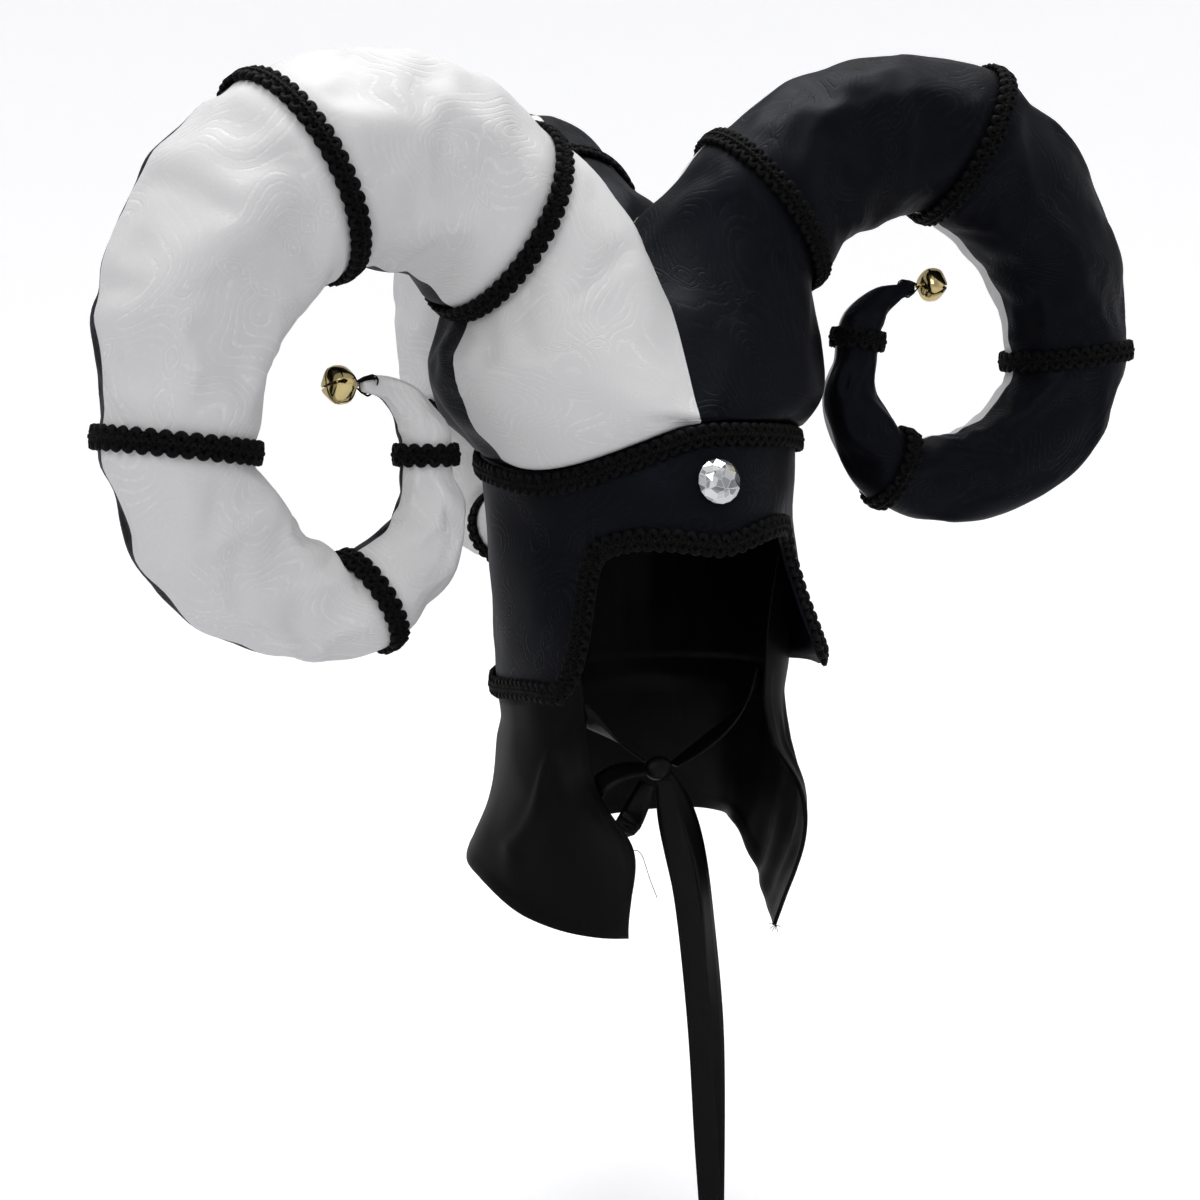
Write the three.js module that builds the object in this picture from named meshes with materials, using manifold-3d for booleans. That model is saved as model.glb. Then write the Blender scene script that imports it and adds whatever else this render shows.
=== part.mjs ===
// Three-horned jester hood, in millimetres, +Z up. The face looks along -Y and the
// wearer's right side is -X. The origin is the inside top of the crown, where the
// hood rests on a head. A brocade band with ear flaps carries three stuffed horns
// that curl outward, each sewn from a white half and a black half. Gimp braid covers
// the seams, a satin drape hangs over the neck, and a ribbon ties under the chin.

import * as THREE from 'three';
import { mergeVertices } from 'three/addons/utils/BufferGeometryUtils.js';
import Module from 'manifold-3d';

const wasm = await Module();
wasm.setup();

// Head and band
const headHalfWidth = 86.8;
const headHalfDepth = 103;
const bandWall = 2;
const crownDepth = 60;
const browDepth = 112;
const liningWall = 1.5;
const liningRim = 5;

// Horns
const hornSpan = 300;
const hornRadius = 52;
const braidPinch = 1.2;

// Trim
const braidWidth = 12.5;
const braidThickness = 2.6;
const gemRadius = 11.5;
const gemHeight = 6.5;

// Neck drape
const drapeWall = 1.2;
const drapeDrop = 327;

// Bells
const bellHalfWidth = 8.8;
const bellHalfLength = 7.4;
const bellWall = 0.8;
const bellSlot = 1.6;
const shankRadius = 1.7;
const wireRadius = 0.5;
const loopRadius = 2;

// Chin tie
const ribbonWidth = 14;
const ribbonThickness = 1;
const tieDrop = 235;
const tailLength = 271;
const loopReach = 35;
const knotRadius = 8;

// Clearance between pieces that touch
const gap = 0.3;

// Number of sides
const hornSides = 16;

// Height of the seam between band and horns, as a share of crownDepth
const crownLine = [
  { azimuth: -180, drop: 0.97 },
  { azimuth: -140, drop: 1.03 },
  { azimuth: -108, drop: 1.10 },
  { azimuth: -83, drop: 1.15 },
  { azimuth: -60, drop: 1.22 },
  { azimuth: -42, drop: 1.16 },
  { azimuth: -24, drop: 1.01 },
  { azimuth: -4, drop: 0.85 },
  { azimuth: 14, drop: 0.87 },
  { azimuth: 34, drop: 0.93 },
  { azimuth: 58, drop: 1.03 },
  { azimuth: 83, drop: 1.10 },
  { azimuth: 108, drop: 1.10 },
  { azimuth: 140, drop: 1.03 },
  { azimuth: 180, drop: 0.97 },
];

// Lower edge of one side of the band, from brow to nape, as a share of browDepth
const bandEdge = [
  { azimuth: 0, drop: 1.00 },
  { azimuth: 7, drop: 0.98 },
  { azimuth: 14, drop: 0.955 },
  { azimuth: 23, drop: 0.95 },
  { azimuth: 31, drop: 0.975 },
  { azimuth: 35.5, drop: 1.01 },
  { azimuth: 37.5, drop: 1.07 },
  { azimuth: 38.8, drop: 1.18 },
  { azimuth: 40.1, drop: 1.37 },
  { azimuth: 42.5, drop: 1.54 },
  { azimuth: 48, drop: 1.665 },
  { azimuth: 56, drop: 1.68 },
  { azimuth: 66, drop: 1.695 },
  { azimuth: 80, drop: 1.73 },
  { azimuth: 94, drop: 1.765 },
  { azimuth: 108, drop: 1.79 },
  { azimuth: 120, drop: 1.80 },
  { azimuth: 132, drop: 1.81 },
  { azimuth: 144, drop: 1.815 },
  { azimuth: 156, drop: 1.82 },
  { azimuth: 168, drop: 1.82 },
  { azimuth: 180, drop: 1.82 },
];

// Band profile from the crown down: front half depth and temple pull, as shares
// of headHalfDepth, at depths that are shares of browDepth
const bandProfile = [
  { depth: 0.30, front: 0.88, back: 0.93, temple: 0 },
  { depth: 0.46, front: 0.945, back: 0.975, temple: -0.01 },
  { depth: 0.66, front: 1.018, back: 1.01, temple: -0.045 },
  { depth: 0.85, front: 1.045, back: 1.02, temple: -0.09 },
  { depth: 1.00, front: 1.057, back: 1.02, temple: -0.125 },
  { depth: 1.25, front: 1.06, back: 1.02, temple: -0.06 },
  { depth: 1.50, front: 1.06, back: 1.02, temple: 0.03 },
  { depth: 1.66, front: 1.06, back: 1.02, temple: 0.075 },
  { depth: 1.90, front: 1.06, back: 1.02, temple: 0.08 },
];

// Horn centre lines in the plane of the curl. out and up are shares of hornSpan,
// radius is a share of hornRadius, cross is the width across the curl over the
// radius, and tilt turns the section in degrees. Braid rows carry a ring of gimp.
const rightCurl = [
  { out: 0.090, up: -0.113, radius: 1.56, cross: 1.10, tilt: 176 },
  { out: 0.153, up: -0.007, radius: 1.37, cross: 1.06, tilt: 168 },
  { out: 0.215, up: 0.107, radius: 1.20, cross: 1.02, tilt: 145 },
  { out: 0.285, up: 0.210, radius: 1.02, cross: 1, tilt: 120, braid: true },
  { out: 0.393, up: 0.287, radius: 0.99, cross: 1, tilt: 108 },
  { out: 0.520, up: 0.307, radius: 0.98, cross: 1, tilt: 88 },
  { out: 0.657, up: 0.275, radius: 0.96, cross: 1, tilt: 66, braid: true },
  { out: 0.770, up: 0.193, radius: 0.88, cross: 1, tilt: 40 },
  { out: 0.857, up: 0.047, radius: 0.775, cross: 1, tilt: 22 },
  { out: 0.888, up: -0.122, radius: 0.69, cross: 1, tilt: 11, braid: true },
  { out: 0.853, up: -0.260, radius: 0.68, cross: 1, tilt: -20 },
  { out: 0.787, up: -0.347, radius: 0.61, cross: 1, tilt: -44 },
  { out: 0.693, up: -0.400, radius: 0.55, cross: 1, tilt: -72 },
  { out: 0.595, up: -0.412, radius: 0.50, cross: 1.05, tilt: -112, braid: true },
  { out: 0.497, up: -0.347, radius: 0.42, cross: 1, tilt: -142 },
  { out: 0.457, up: -0.263, radius: 0.34, cross: 1, tilt: -164 },
  { out: 0.457, up: -0.177, radius: 0.28, cross: 1, tilt: -176, braid: true },
  { out: 0.463, up: -0.127, radius: 0.24, cross: 1, tilt: -188 },
  { out: 0.490, up: -0.087, radius: 0.17, cross: 1, tilt: -218 },
  { out: 0.527, up: -0.063, radius: 0.11, cross: 1, tilt: -243 },
  { out: 0.565, up: -0.052, radius: 0.07, cross: 1, tilt: -262 },
];
const leftCurl = [
  { out: 0.067, up: -0.113, radius: 1.61, cross: 1.04, tilt: 176 },
  { out: 0.127, up: -0.007, radius: 1.38, cross: 0.98, tilt: 166 },
  { out: 0.190, up: 0.107, radius: 1.13, cross: 0.96, tilt: 146 },
  { out: 0.264, up: 0.217, radius: 0.96, cross: 1.06, tilt: 125, braid: true },
  { out: 0.373, up: 0.300, radius: 0.88, cross: 1, tilt: 110 },
  { out: 0.513, up: 0.340, radius: 0.87, cross: 1, tilt: 88 },
  { out: 0.665, up: 0.325, radius: 0.86, cross: 1, tilt: 63, braid: true },
  { out: 0.790, up: 0.220, radius: 0.81, cross: 1, tilt: 40 },
  { out: 0.870, up: 0.080, radius: 0.74, cross: 1, tilt: 18 },
  { out: 0.893, up: -0.087, radius: 0.69, cross: 1, tilt: 3, braid: true },
  { out: 0.857, up: -0.200, radius: 0.64, cross: 1, tilt: -27 },
  { out: 0.783, up: -0.270, radius: 0.58, cross: 1, tilt: -50 },
  { out: 0.683, up: -0.310, radius: 0.52, cross: 1, tilt: -77 },
  { out: 0.590, up: -0.310, radius: 0.48, cross: 1, tilt: -100 },
  { out: 0.515, up: -0.285, radius: 0.44, cross: 1, tilt: -119, braid: true },
  { out: 0.455, up: -0.205, radius: 0.355, cross: 1, tilt: -152 },
  { out: 0.433, up: -0.133, radius: 0.30, cross: 1, tilt: -171 },
  { out: 0.450, up: -0.030, radius: 0.26, cross: 1, tilt: -190, braid: true },
  { out: 0.467, up: 0.013, radius: 0.22, cross: 1, tilt: -206 },
  { out: 0.497, up: 0.040, radius: 0.15, cross: 1, tilt: -231 },
  { out: 0.533, up: 0.055, radius: 0.10, cross: 1, tilt: -251 },
  { out: 0.563, up: 0.063, radius: 0.07, cross: 1, tilt: -262 },
];

// Each horn: its curl, the azimuth of the curl's plane, the azimuths between which
// it is sewn to the crown, and which half faces which way. The white half lies on
// the side that is a quarter turn clockwise from the horn, seen from above.
const horns = [
  { name: 'right', curl: rightCurl, azimuth: -74.6, from: -128, to: -2, white: 'front', black: 'back' },
  { name: 'left', curl: leftCurl, azimuth: 81.5, from: -2, to: 125, white: 'back', black: 'front' },
  { name: 'back', curl: rightCurl, azimuth: 188, from: 125, to: 232, white: 'right', black: 'left' },
];

// Neck drape, one row for each fold line from the wearer's right front edge round
// the nape to the left front edge. Azimuths in degrees and reaches as shares of
// headHalfWidth, at the band, the jaw, the corner and the hem; hem is a share of
// drapeDrop.
const drapeFolds = [
  { azimuths: [-52, -54, -48, -29, -36], reaches: [0.92, 0.80, 0.88, 1.20, 0.89], hem: 1.000 },
  { azimuths: [-64, -66, -62, -45, -46], reaches: [1.05, 1.00, 1.00, 1.10, 1.08], hem: 0.980 },
  { azimuths: [-80, -82, -80, -68, -66], reaches: [1.05, 1.02, 1.04, 1.12, 1.24], hem: 0.950 },
  { azimuths: [-102, -102, -102, -96, -92], reaches: [1.05, 1.02, 1.04, 1.12, 1.29], hem: 0.912 },
  { azimuths: [-140, -140, -140, -138, -136], reaches: [1.15, 1.10, 1.11, 1.17, 1.29], hem: 0.930 },
  { azimuths: [180, 180, 180, 180, 180], reaches: [1.25, 1.19, 1.20, 1.23, 1.30], hem: 0.966 },
  { azimuths: [140, 140, 140, 140, 140], reaches: [1.15, 1.10, 1.10, 1.12, 1.18], hem: 0.955 },
  { azimuths: [108, 108, 108, 108, 110], reaches: [1.05, 1.02, 0.96, 0.90, 0.75], hem: 0.930 },
  { azimuths: [80, 80, 78, 76, 78], reaches: [1.05, 0.97, 0.91, 0.85, 0.68], hem: 0.980 },
  { azimuths: [62, 62, 60, 50, 54], reaches: [1.00, 0.90, 0.90, 1.00, 0.76], hem: 1.020 },
  { azimuths: [51, 50, 46, 30, 38], reaches: [0.92, 0.80, 0.86, 1.22, 0.89], hem: 1.036 },
];
// Depths of the drape's top, jaw and corner, as shares of drapeDrop
const drapeTop = 0.375;
const drapeJaw = 0.705;
const drapeCorner = 0.81;

// Ribbon tails from the knot down: drop is a share of tailLength, sway sideways and
// lead forward are shares of ribbonWidth, face is the azimuth of the flat side
const frontTail = [
  { drop: 0, sway: 0.10, lead: 0.26, face: -10 },
  { drop: 0.08, sway: 0.20, lead: 0.45, face: -20 },
  { drop: 0.16, sway: 0.45, lead: 0.45, face: -22 },
  { drop: 0.24, sway: 0.73, lead: 0.40, face: -20 },
  { drop: 0.40, sway: 1.00, lead: 0.30, face: -18 },
  { drop: 0.60, sway: 1.15, lead: 0.30, face: -20 },
  { drop: 0.80, sway: 1.17, lead: 0.30, face: -24 },
  { drop: 1, sway: 1.25, lead: 0.30, face: -22 },
];
const rearTail = [
  { drop: 0, sway: 0.38, lead: -0.18, face: 10 },
  { drop: 0.08, sway: 1.10, lead: -0.20, face: 20 },
  { drop: 0.16, sway: 1.55, lead: -0.15, face: 32 },
  { drop: 0.25, sway: 1.78, lead: -0.10, face: 38 },
  { drop: 0.34, sway: 1.88, lead: -0.10, face: 36 },
  { drop: 0.46, sway: 1.92, lead: -0.10, face: 22 },
  { drop: 0.60, sway: 1.88, lead: -0.10, face: 0 },
  { drop: 0.80, sway: 1.70, lead: -0.10, face: -16 },
  { drop: 0.985, sway: 1.50, lead: -0.10, face: -20 },
];
// Bow loop round from the knot and back: shares of loopReach out to the wearer's
// right, forward and down, and the lean of the flat side from level in degrees
const bowLoop = [
  { out: 0.24, lead: 0.06, down: -0.04, lean: 80 },
  { out: 0.62, lead: 0.04, down: -0.06, lean: 76 },
  { out: 0.98, lead: -0.04, down: 0.12, lean: 50 },
  { out: 1.15, lead: -0.10, down: 0.45, lean: 5 },
  { out: 1.08, lead: -0.10, down: 0.84, lean: -45 },
  { out: 0.84, lead: 0, down: 1.00, lean: -75 },
  { out: 0.60, lead: 0.06, down: 0.82, lean: -40 },
  { out: 0.40, lead: 0.08, down: 0.50, lean: -30 },
  { out: 0.22, lead: 0.06, down: 0.20, lean: -28 },
];

// Interpolates one column of a table smoothly between its rows
function tableAt(table, key, column, at) {
  const last = table.length - 1;
  const value = Math.min(Math.max(at, table[0][key]), table[last][key]);
  let index = 0;
  while (index < last - 1 && value > table[index + 1][key]) index += 1;
  const slope = (i) => {
    const low = table[Math.max(i - 1, 0)];
    const high = table[Math.min(i + 1, last)];
    return (high[column] - low[column]) / (high[key] - low[key]);
  };
  const start = table[index];
  const end = table[index + 1];
  const span = end[key] - start[key];
  const t = (value - start[key]) / span;
  const rise = t * t * (3 - 2 * t);
  const leave = t * (1 - t) * (1 - t) * span * slope(index);
  const arrive = t * t * (t - 1) * span * slope(index + 1);
  return start[column] * (1 - rise) + end[column] * rise + leave + arrive;
}

function wrapAzimuth(azimuth) {
  return ((azimuth + 540) % 360) - 180;
}

// Unit vector in plan: azimuth 0 is the front, positive to the wearer's left
function azimuthVector(azimuth) {
  const angle = THREE.MathUtils.degToRad(azimuth);
  return new THREE.Vector3(Math.sin(angle), -Math.cos(angle), 0);
}

function crownSeam(azimuth) {
  return -crownDepth * tableAt(crownLine, 'azimuth', 'drop', wrapAzimuth(azimuth));
}

function bandTop(azimuth) {
  return crownSeam(azimuth) + braidWidth / 2;
}

function bandBottom(azimuth) {
  return -browDepth * tableAt(bandEdge, 'azimuth', 'drop', Math.abs(wrapAzimuth(azimuth)));
}

// Distance from the axis to the outside of the band
function bandRadius(azimuth, z) {
  const direction = azimuthVector(azimuth);
  const depth = -z / browDepth;
  const side = direction.y < 0 ? 'front' : 'back';
  const halfWidth = headHalfWidth + bandWall;
  const halfDepth = headHalfDepth * tableAt(bandProfile, 'depth', side, depth);
  const ellipse = 1 / Math.hypot(direction.x / halfWidth, direction.y / halfDepth);
  const fromTemple = Math.min(Math.abs(Math.abs(wrapAzimuth(azimuth)) - 44) / 38, 1);
  const pull = headHalfDepth * tableAt(bandProfile, 'depth', 'temple', depth);
  return ellipse + pull * Math.cos(fromTemple * Math.PI / 2) ** 2;
}

function polar(azimuth, radius, z) {
  return azimuthVector(azimuth).multiplyScalar(radius).setZ(z);
}

// Closed body from rings of equal length. An open loft gets a fan at each end, to
// the given end points or the middles of the end rings.
function loft(rings, { closed = false, start = null, end = null } = {}) {
  const sides = rings[0].length;
  const points = rings.flat();
  const triangles = [];
  const steps = closed ? rings.length : rings.length - 1;
  for (let i = 0; i < steps; i += 1) {
    const next = (i + 1) % rings.length;
    for (let j = 0; j < sides; j += 1) {
      const k = (j + 1) % sides;
      const a = i * sides + j;
      const b = i * sides + k;
      const c = next * sides + k;
      const d = next * sides + j;
      triangles.push(a, b, c, a, c, d);
    }
  }
  if (!closed) {
    const last = (rings.length - 1) * sides;
    points.push(start ?? middle(rings[0]), end ?? middle(rings[rings.length - 1]));
    for (let j = 0; j < sides; j += 1) {
      const k = (j + 1) % sides;
      triangles.push(points.length - 2, k, j);
      triangles.push(points.length - 1, last + j, last + k);
    }
  }
  return facingOut(points, triangles);
}

function middle(ring) {
  const sum = ring.reduce((total, point) => total.add(point), new THREE.Vector3());
  return sum.divideScalar(ring.length);
}

// Builds the geometry and turns its faces outward if the loft ran the other way
function facingOut(points, triangles) {
  let volume = 0;
  for (let i = 0; i < triangles.length; i += 3) {
    const [a, b, c] = [0, 1, 2].map((k) => points[triangles[i + k]]);
    volume += a.dot(b.clone().cross(c));
  }
  const faces = volume < 0 ? [...triangles].reverse() : triangles;
  const geometry = new THREE.BufferGeometry();
  geometry.setAttribute('position', new THREE.Float32BufferAttribute(points.flatMap((p) => p.toArray()), 3));
  geometry.setIndex(faces);
  return geometry;
}

function toSolid(geometry) {
  const bare = geometry.clone();
  bare.deleteAttribute('normal');
  bare.deleteAttribute('uv');
  const merged = mergeVertices(bare, 1e-4);
  const vertProperties = new Float32Array(merged.attributes.position.array);
  const triVerts = new Uint32Array(merged.index.array);
  return new wasm.Manifold(new wasm.Mesh({ numProp: 3, vertProperties, triVerts }));
}

function toGeometry(solid) {
  const mesh = solid.getMesh();
  const geometry = new THREE.BufferGeometry();
  geometry.setAttribute('position', new THREE.BufferAttribute(new Float32Array(mesh.vertProperties), 3));
  geometry.setIndex(new THREE.BufferAttribute(new Uint32Array(mesh.triVerts), 1));
  return geometry;
}

const cloth = { roughness: 0.75, metalness: 0 };
const materials = {
  white_brocade: new THREE.MeshStandardMaterial({ color: 0xe9e9eb, ...cloth }),
  black_brocade: new THREE.MeshStandardMaterial({ color: 0x15151a, ...cloth }),
  black_satin: new THREE.MeshStandardMaterial({ color: 0x0c0c10, roughness: 0.45, metalness: 0 }),
  gimp_braid: new THREE.MeshStandardMaterial({ color: 0x0a0a0c, roughness: 0.8, metalness: 0 }),
  satin_ribbon: new THREE.MeshStandardMaterial({ color: 0x0e0e12, roughness: 0.4, metalness: 0 }),
  cotton_thread: new THREE.MeshStandardMaterial({ color: 0x08080a, roughness: 0.9, metalness: 0 }),
  brass: new THREE.MeshStandardMaterial({ color: 0xd9b65a, roughness: 0.2, metalness: 1 }),
  acrylic: new THREE.MeshStandardMaterial({ color: 0xe6ebf0, roughness: 0.05, metalness: 0 }),
};

const hood = new THREE.Group();
hood.name = 'jester_hood';

function addPiece(name, geometry, material) {
  const mesh = new THREE.Mesh(geometry, materials[material]);
  mesh.name = name;
  hood.add(mesh);
  return mesh;
}

// Columns of the band: the rows of its edge table on both sides
const sideColumns = bandEdge.map((row) => row.azimuth);
const bandColumns = [
  ...sideColumns.slice(1, -1).reverse().map((azimuth) => -azimuth),
  ...sideColumns,
];

// Heights of the band's rows at one azimuth; the last two bound the crown braid
function bandHeights(azimuth) {
  const bottom = bandBottom(azimuth);
  const braidLow = bandTop(azimuth) - braidWidth;
  const shares = [0, 0.25, 0.5, 0.75, 1];
  return [...shares.map((share) => bottom + (braidLow - bottom) * share), bandTop(azimuth)];
}

// Point on the straight run between the band's rows
function onBand(azimuth, z) {
  const heights = bandHeights(azimuth);
  const above = Math.max(heights.findIndex((height) => height >= z), 1);
  const [low, high] = [heights[above - 1], heights[above]];
  const share = (z - low) / (high - low);
  const radius = THREE.MathUtils.lerp(bandRadius(azimuth, low), bandRadius(azimuth, high), share);
  return polar(azimuth, radius, z);
}

// The band is a wall between its lower edge and the crown seam
function buildBand() {
  const rings = bandColumns.map((azimuth) => {
    const heights = bandHeights(azimuth);
    const face = (inset) => heights.map((z) => polar(azimuth, bandRadius(azimuth, z) - inset, z));
    return [...face(0), ...face(bandWall).reverse()];
  });
  addPiece('hood_band', loft(rings, { closed: true }), 'black_brocade');
}

// Point on a dome that springs from inside the band and closes the crown
function domePoint(azimuth, share, inset, top) {
  const springs = bandTop(azimuth);
  const opening = Math.min(bandRadius(azimuth, springs), bandRadius(azimuth, springs - 2 * liningRim));
  const radius = opening - bandWall - 2 * gap - inset;
  const rise = Math.sqrt(1 - share * share);
  return polar(azimuth, radius * share, springs + (top - springs) * rise);
}

const domeShares = [0.35, 0.65, 0.88, 0.97, 1];

function buildLining() {
  const ring = (share, inset, top) => bandColumns.map((azimuth) => domePoint(azimuth, share, inset, top));
  const lowered = (points) => points.map((point) => point.clone().setZ(point.z - liningRim));
  const outside = domeShares.map((share) => ring(share, 0, liningWall));
  const inside = domeShares.map((share) => ring(share, liningWall, 0));
  const rings = [
    ...outside,
    lowered(outside.at(-1)),
    lowered(inside.at(-1)),
    ...inside.reverse(),
  ];
  const top = new THREE.Vector3(0, 0, liningWall);
  const bottom = new THREE.Vector3(0, 0, 0);
  addPiece('crown_lining', loft(rings, { start: top, end: bottom }), 'black_satin');
}

// Everything below the horns: the dome, the top of the band and the braid
function buildPlug() {
  const spread = 1.1;
  const floor = -2 * browDepth;
  const dome = domeShares.map((share) => bandColumns.map((azimuth) => {
    const point = domePoint(azimuth, share, -gap / 2, liningWall + gap);
    return point.setZ(Math.max(point.z, bandTop(azimuth) + gap));
  }));
  const brim = bandColumns.map((azimuth) => {
    const radius = bandRadius(azimuth, bandTop(azimuth));
    return polar(azimuth, radius * spread, bandTop(azimuth) + gap);
  });
  const base = brim.map((point) => point.clone().setZ(floor));
  const top = new THREE.Vector3(0, 0, liningWall + gap);
  return toSolid(loft([...dome, brim, base], { start: top }));
}

// Frame of a horn: out lies in the plane of the curl, across points out of it
function hornFrame(horn) {
  const out = azimuthVector(horn.azimuth);
  const across = new THREE.Vector3(0, 0, 1).cross(out);
  const up = new THREE.Vector3(0, 0, 1);
  return { out, across, up };
}

function hornRing(horn, row, shift = 0, grow = 0) {
  const { out, across, up } = hornFrame(horn);
  const tilt = THREE.MathUtils.degToRad(row.tilt);
  const centre = out.clone().multiplyScalar(row.out * hornSpan).addScaledVector(up, row.up * hornSpan);
  const along = out.clone().multiplyScalar(Math.sin(tilt)).addScaledVector(up, -Math.cos(tilt));
  const outer = out.clone().multiplyScalar(Math.cos(tilt)).addScaledVector(up, Math.sin(tilt));
  centre.addScaledVector(along, shift);
  const reach = row.radius * hornRadius + grow;
  const width = row.radius * row.cross * hornRadius + grow;
  return [...Array(hornSides).keys()].map((j) => {
    const angle = 2 * Math.PI * j / hornSides;
    return centre.clone()
      .addScaledVector(outer, reach * Math.cos(angle))
      .addScaledVector(across, width * Math.sin(angle));
  });
}

// Where the horn is sewn to the crown, its ring follows the band's outline
function hornFoot(horn, z) {
  const { out, across } = hornFrame(horn);
  return [...Array(hornSides).keys()].map((j) => {
    const angle = 2 * Math.PI * j / hornSides;
    const direction = out.clone().multiplyScalar(-Math.cos(angle)).addScaledVector(across, Math.sin(angle));
    const azimuth = THREE.MathUtils.radToDeg(Math.atan2(direction.x, -direction.y));
    const seam = bandTop(azimuth);
    return polar(azimuth, bandRadius(azimuth, seam), z ?? seam);
  });
}

// A braid pinches the horn along its whole width, so that row gives two rings
function hornRings(horn) {
  const rings = [hornFoot(horn, -browDepth), hornFoot(horn, null)];
  for (const row of horn.curl) {
    if (row.braid) {
      rings.push(hornRing(horn, row, -braidWidth / 2, -braidPinch));
      rings.push(hornRing(horn, row, braidWidth / 2, -braidPinch));
    } else {
      rings.push(hornRing(horn, row));
    }
  }
  return rings;
}

// Upright wedge from the axis outward between two azimuths, clear of its neighbours
function wedge(from, to) {
  const reach = 4 * hornSpan;
  const middleWay = azimuthVector((from + to) / 2);
  const half = THREE.MathUtils.degToRad((to - from) / 2);
  const apex = middleWay.clone().multiplyScalar(gap / 2 / Math.sin(half));
  const corners = [
    apex,
    apex.clone().addScaledVector(azimuthVector(from), reach),
    apex.clone().addScaledVector(azimuthVector(to), reach),
  ];
  const shape = new THREE.Shape(corners.map((corner) => new THREE.Vector2(corner.x, corner.y)));
  const geometry = new THREE.ExtrudeGeometry(shape, { depth: 4 * hornSpan, bevelEnabled: false });
  return toSolid(geometry.translate(0, 0, -2 * hornSpan));
}

// Half space on one side of the plane of the curl
function sideOf(horn, sign) {
  const size = 4 * hornSpan;
  const { across } = hornFrame(horn);
  const geometry = new THREE.BoxGeometry(size, size, size);
  geometry.rotateZ(Math.atan2(across.y, across.x));
  const centre = across.multiplyScalar(sign * (size + gap) / 2);
  return toSolid(geometry.translate(centre.x, centre.y, centre.z));
}

function buildHorns(plug) {
  for (const horn of horns) {
    const whole = toSolid(loft(hornRings(horn)));
    const seated = whole.intersect(wedge(horn.from, horn.to)).subtract(plug);
    const white = seated.intersect(sideOf(horn, 1));
    const black = seated.intersect(sideOf(horn, -1));
    addPiece(`${horn.name}_horn_${horn.white}`, toGeometry(white), 'white_brocade');
    addPiece(`${horn.name}_horn_${horn.black}`, toGeometry(black), 'black_brocade');
    buildHornBraids(horn);
    buildBell(horn);
  }
}

function buildHornBraids(horn) {
  const rows = horn.curl.filter((row) => row.braid);
  rows.forEach((row, index) => {
    const near = gap - braidPinch;
    const far = near + braidThickness;
    const edge = braidWidth / 2;
    const rings = [
      hornRing(horn, row, -edge, near),
      hornRing(horn, row, -edge, far),
      hornRing(horn, row, edge, far),
      hornRing(horn, row, edge, near),
    ];
    addPiece(`${horn.name}_horn_braid_${index + 1}`, loft(rings, { closed: true }), 'gimp_braid');
  });
}

// A square, domed jingle bell with a cross of slots, its shank at the origin and
// its mouth towards -Z
function bellSolid() {
  const body = (halfWidth, halfLength) => {
    const geometry = new THREE.SphereGeometry(1, 8, 6).rotateX(Math.PI / 2);
    const points = geometry.attributes.position;
    for (let i = 0; i < points.count; i += 1) {
      const x = points.getX(i);
      const y = points.getY(i);
      const flat = Math.hypot(x, y) / Math.max((x ** 4 + y ** 4) ** 0.25, 1e-6);
      const square = 0.55 + 0.45 * Math.min(flat, 1.2);
      points.setXYZ(i, x * square * halfWidth, y * square * halfWidth, points.getZ(i) * halfLength);
    }
    return toSolid(geometry.translate(0, 0, -shankRadius - bellHalfLength));
  };
  const shell = body(bellHalfWidth, bellHalfLength).subtract(body(bellHalfWidth - bellWall, bellHalfLength - bellWall));
  const slot = (turn) => {
    const geometry = new THREE.BoxGeometry(bellHalfWidth * 1.5, bellSlot, bellHalfLength);
    geometry.rotateZ(turn).translate(0, 0, -shankRadius - bellHalfLength * 1.75);
    return toSolid(geometry);
  };
  const shank = toSolid(new THREE.TorusGeometry(shankRadius, wireRadius, 4, 8).rotateX(Math.PI / 2));
  return shell.subtract(slot(Math.PI / 4)).subtract(slot(-Math.PI / 4)).add(shank);
}

function buildBell(horn) {
  const { out, across, up } = hornFrame(horn);
  const tip = horn.curl.at(-1);
  const tilt = THREE.MathUtils.degToRad(tip.tilt);
  const along = out.clone().multiplyScalar(Math.sin(tilt)).addScaledVector(up, -Math.cos(tilt));
  const end = out.clone().multiplyScalar(tip.out * hornSpan).addScaledVector(up, tip.up * hornSpan);

  // The loop stands in the plane of the tip and the line through the shank's eye
  const mouth = along.clone().addScaledVector(across, 0.16).addScaledVector(up, -0.1).normalize();
  const eye = along.clone().cross(mouth).normalize();
  const loopCentre = end.clone().addScaledVector(along, gap + wireRadius + loopRadius);
  const loopBasis = new THREE.Matrix4().makeBasis(along, eye, along.clone().cross(eye)).setPosition(loopCentre);
  const loop = new THREE.TorusGeometry(loopRadius, wireRadius, 4, 8).applyMatrix4(loopBasis);
  addPiece(`${horn.name}_bell_loop`, loop, 'cotton_thread');

  const back = mouth.clone().negate();
  const shankCentre = loopCentre.clone().addScaledVector(along, loopRadius);
  const basis = new THREE.Matrix4().makeBasis(eye.clone().cross(back), eye, back).setPosition(shankCentre);
  addPiece(`${horn.name}_bell`, toGeometry(bellSolid()).applyMatrix4(basis), 'brass');
}

// Flat braid that lies on the band between two lines of points
function braidLoop(low, high, clearance = gap, upperClearance = clearance) {
  const lift = (point, by) => {
    const azimuth = THREE.MathUtils.radToDeg(Math.atan2(point.x, -point.y));
    return polar(azimuth, Math.hypot(point.x, point.y) + by, point.z);
  };
  const rings = low.map((_, i) => [
    lift(low[i], clearance),
    lift(high[i], upperClearance),
    lift(high[i], upperClearance + braidThickness),
    lift(low[i], clearance + braidThickness),
  ]);
  return loft(rings, { closed: true });
}

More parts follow.
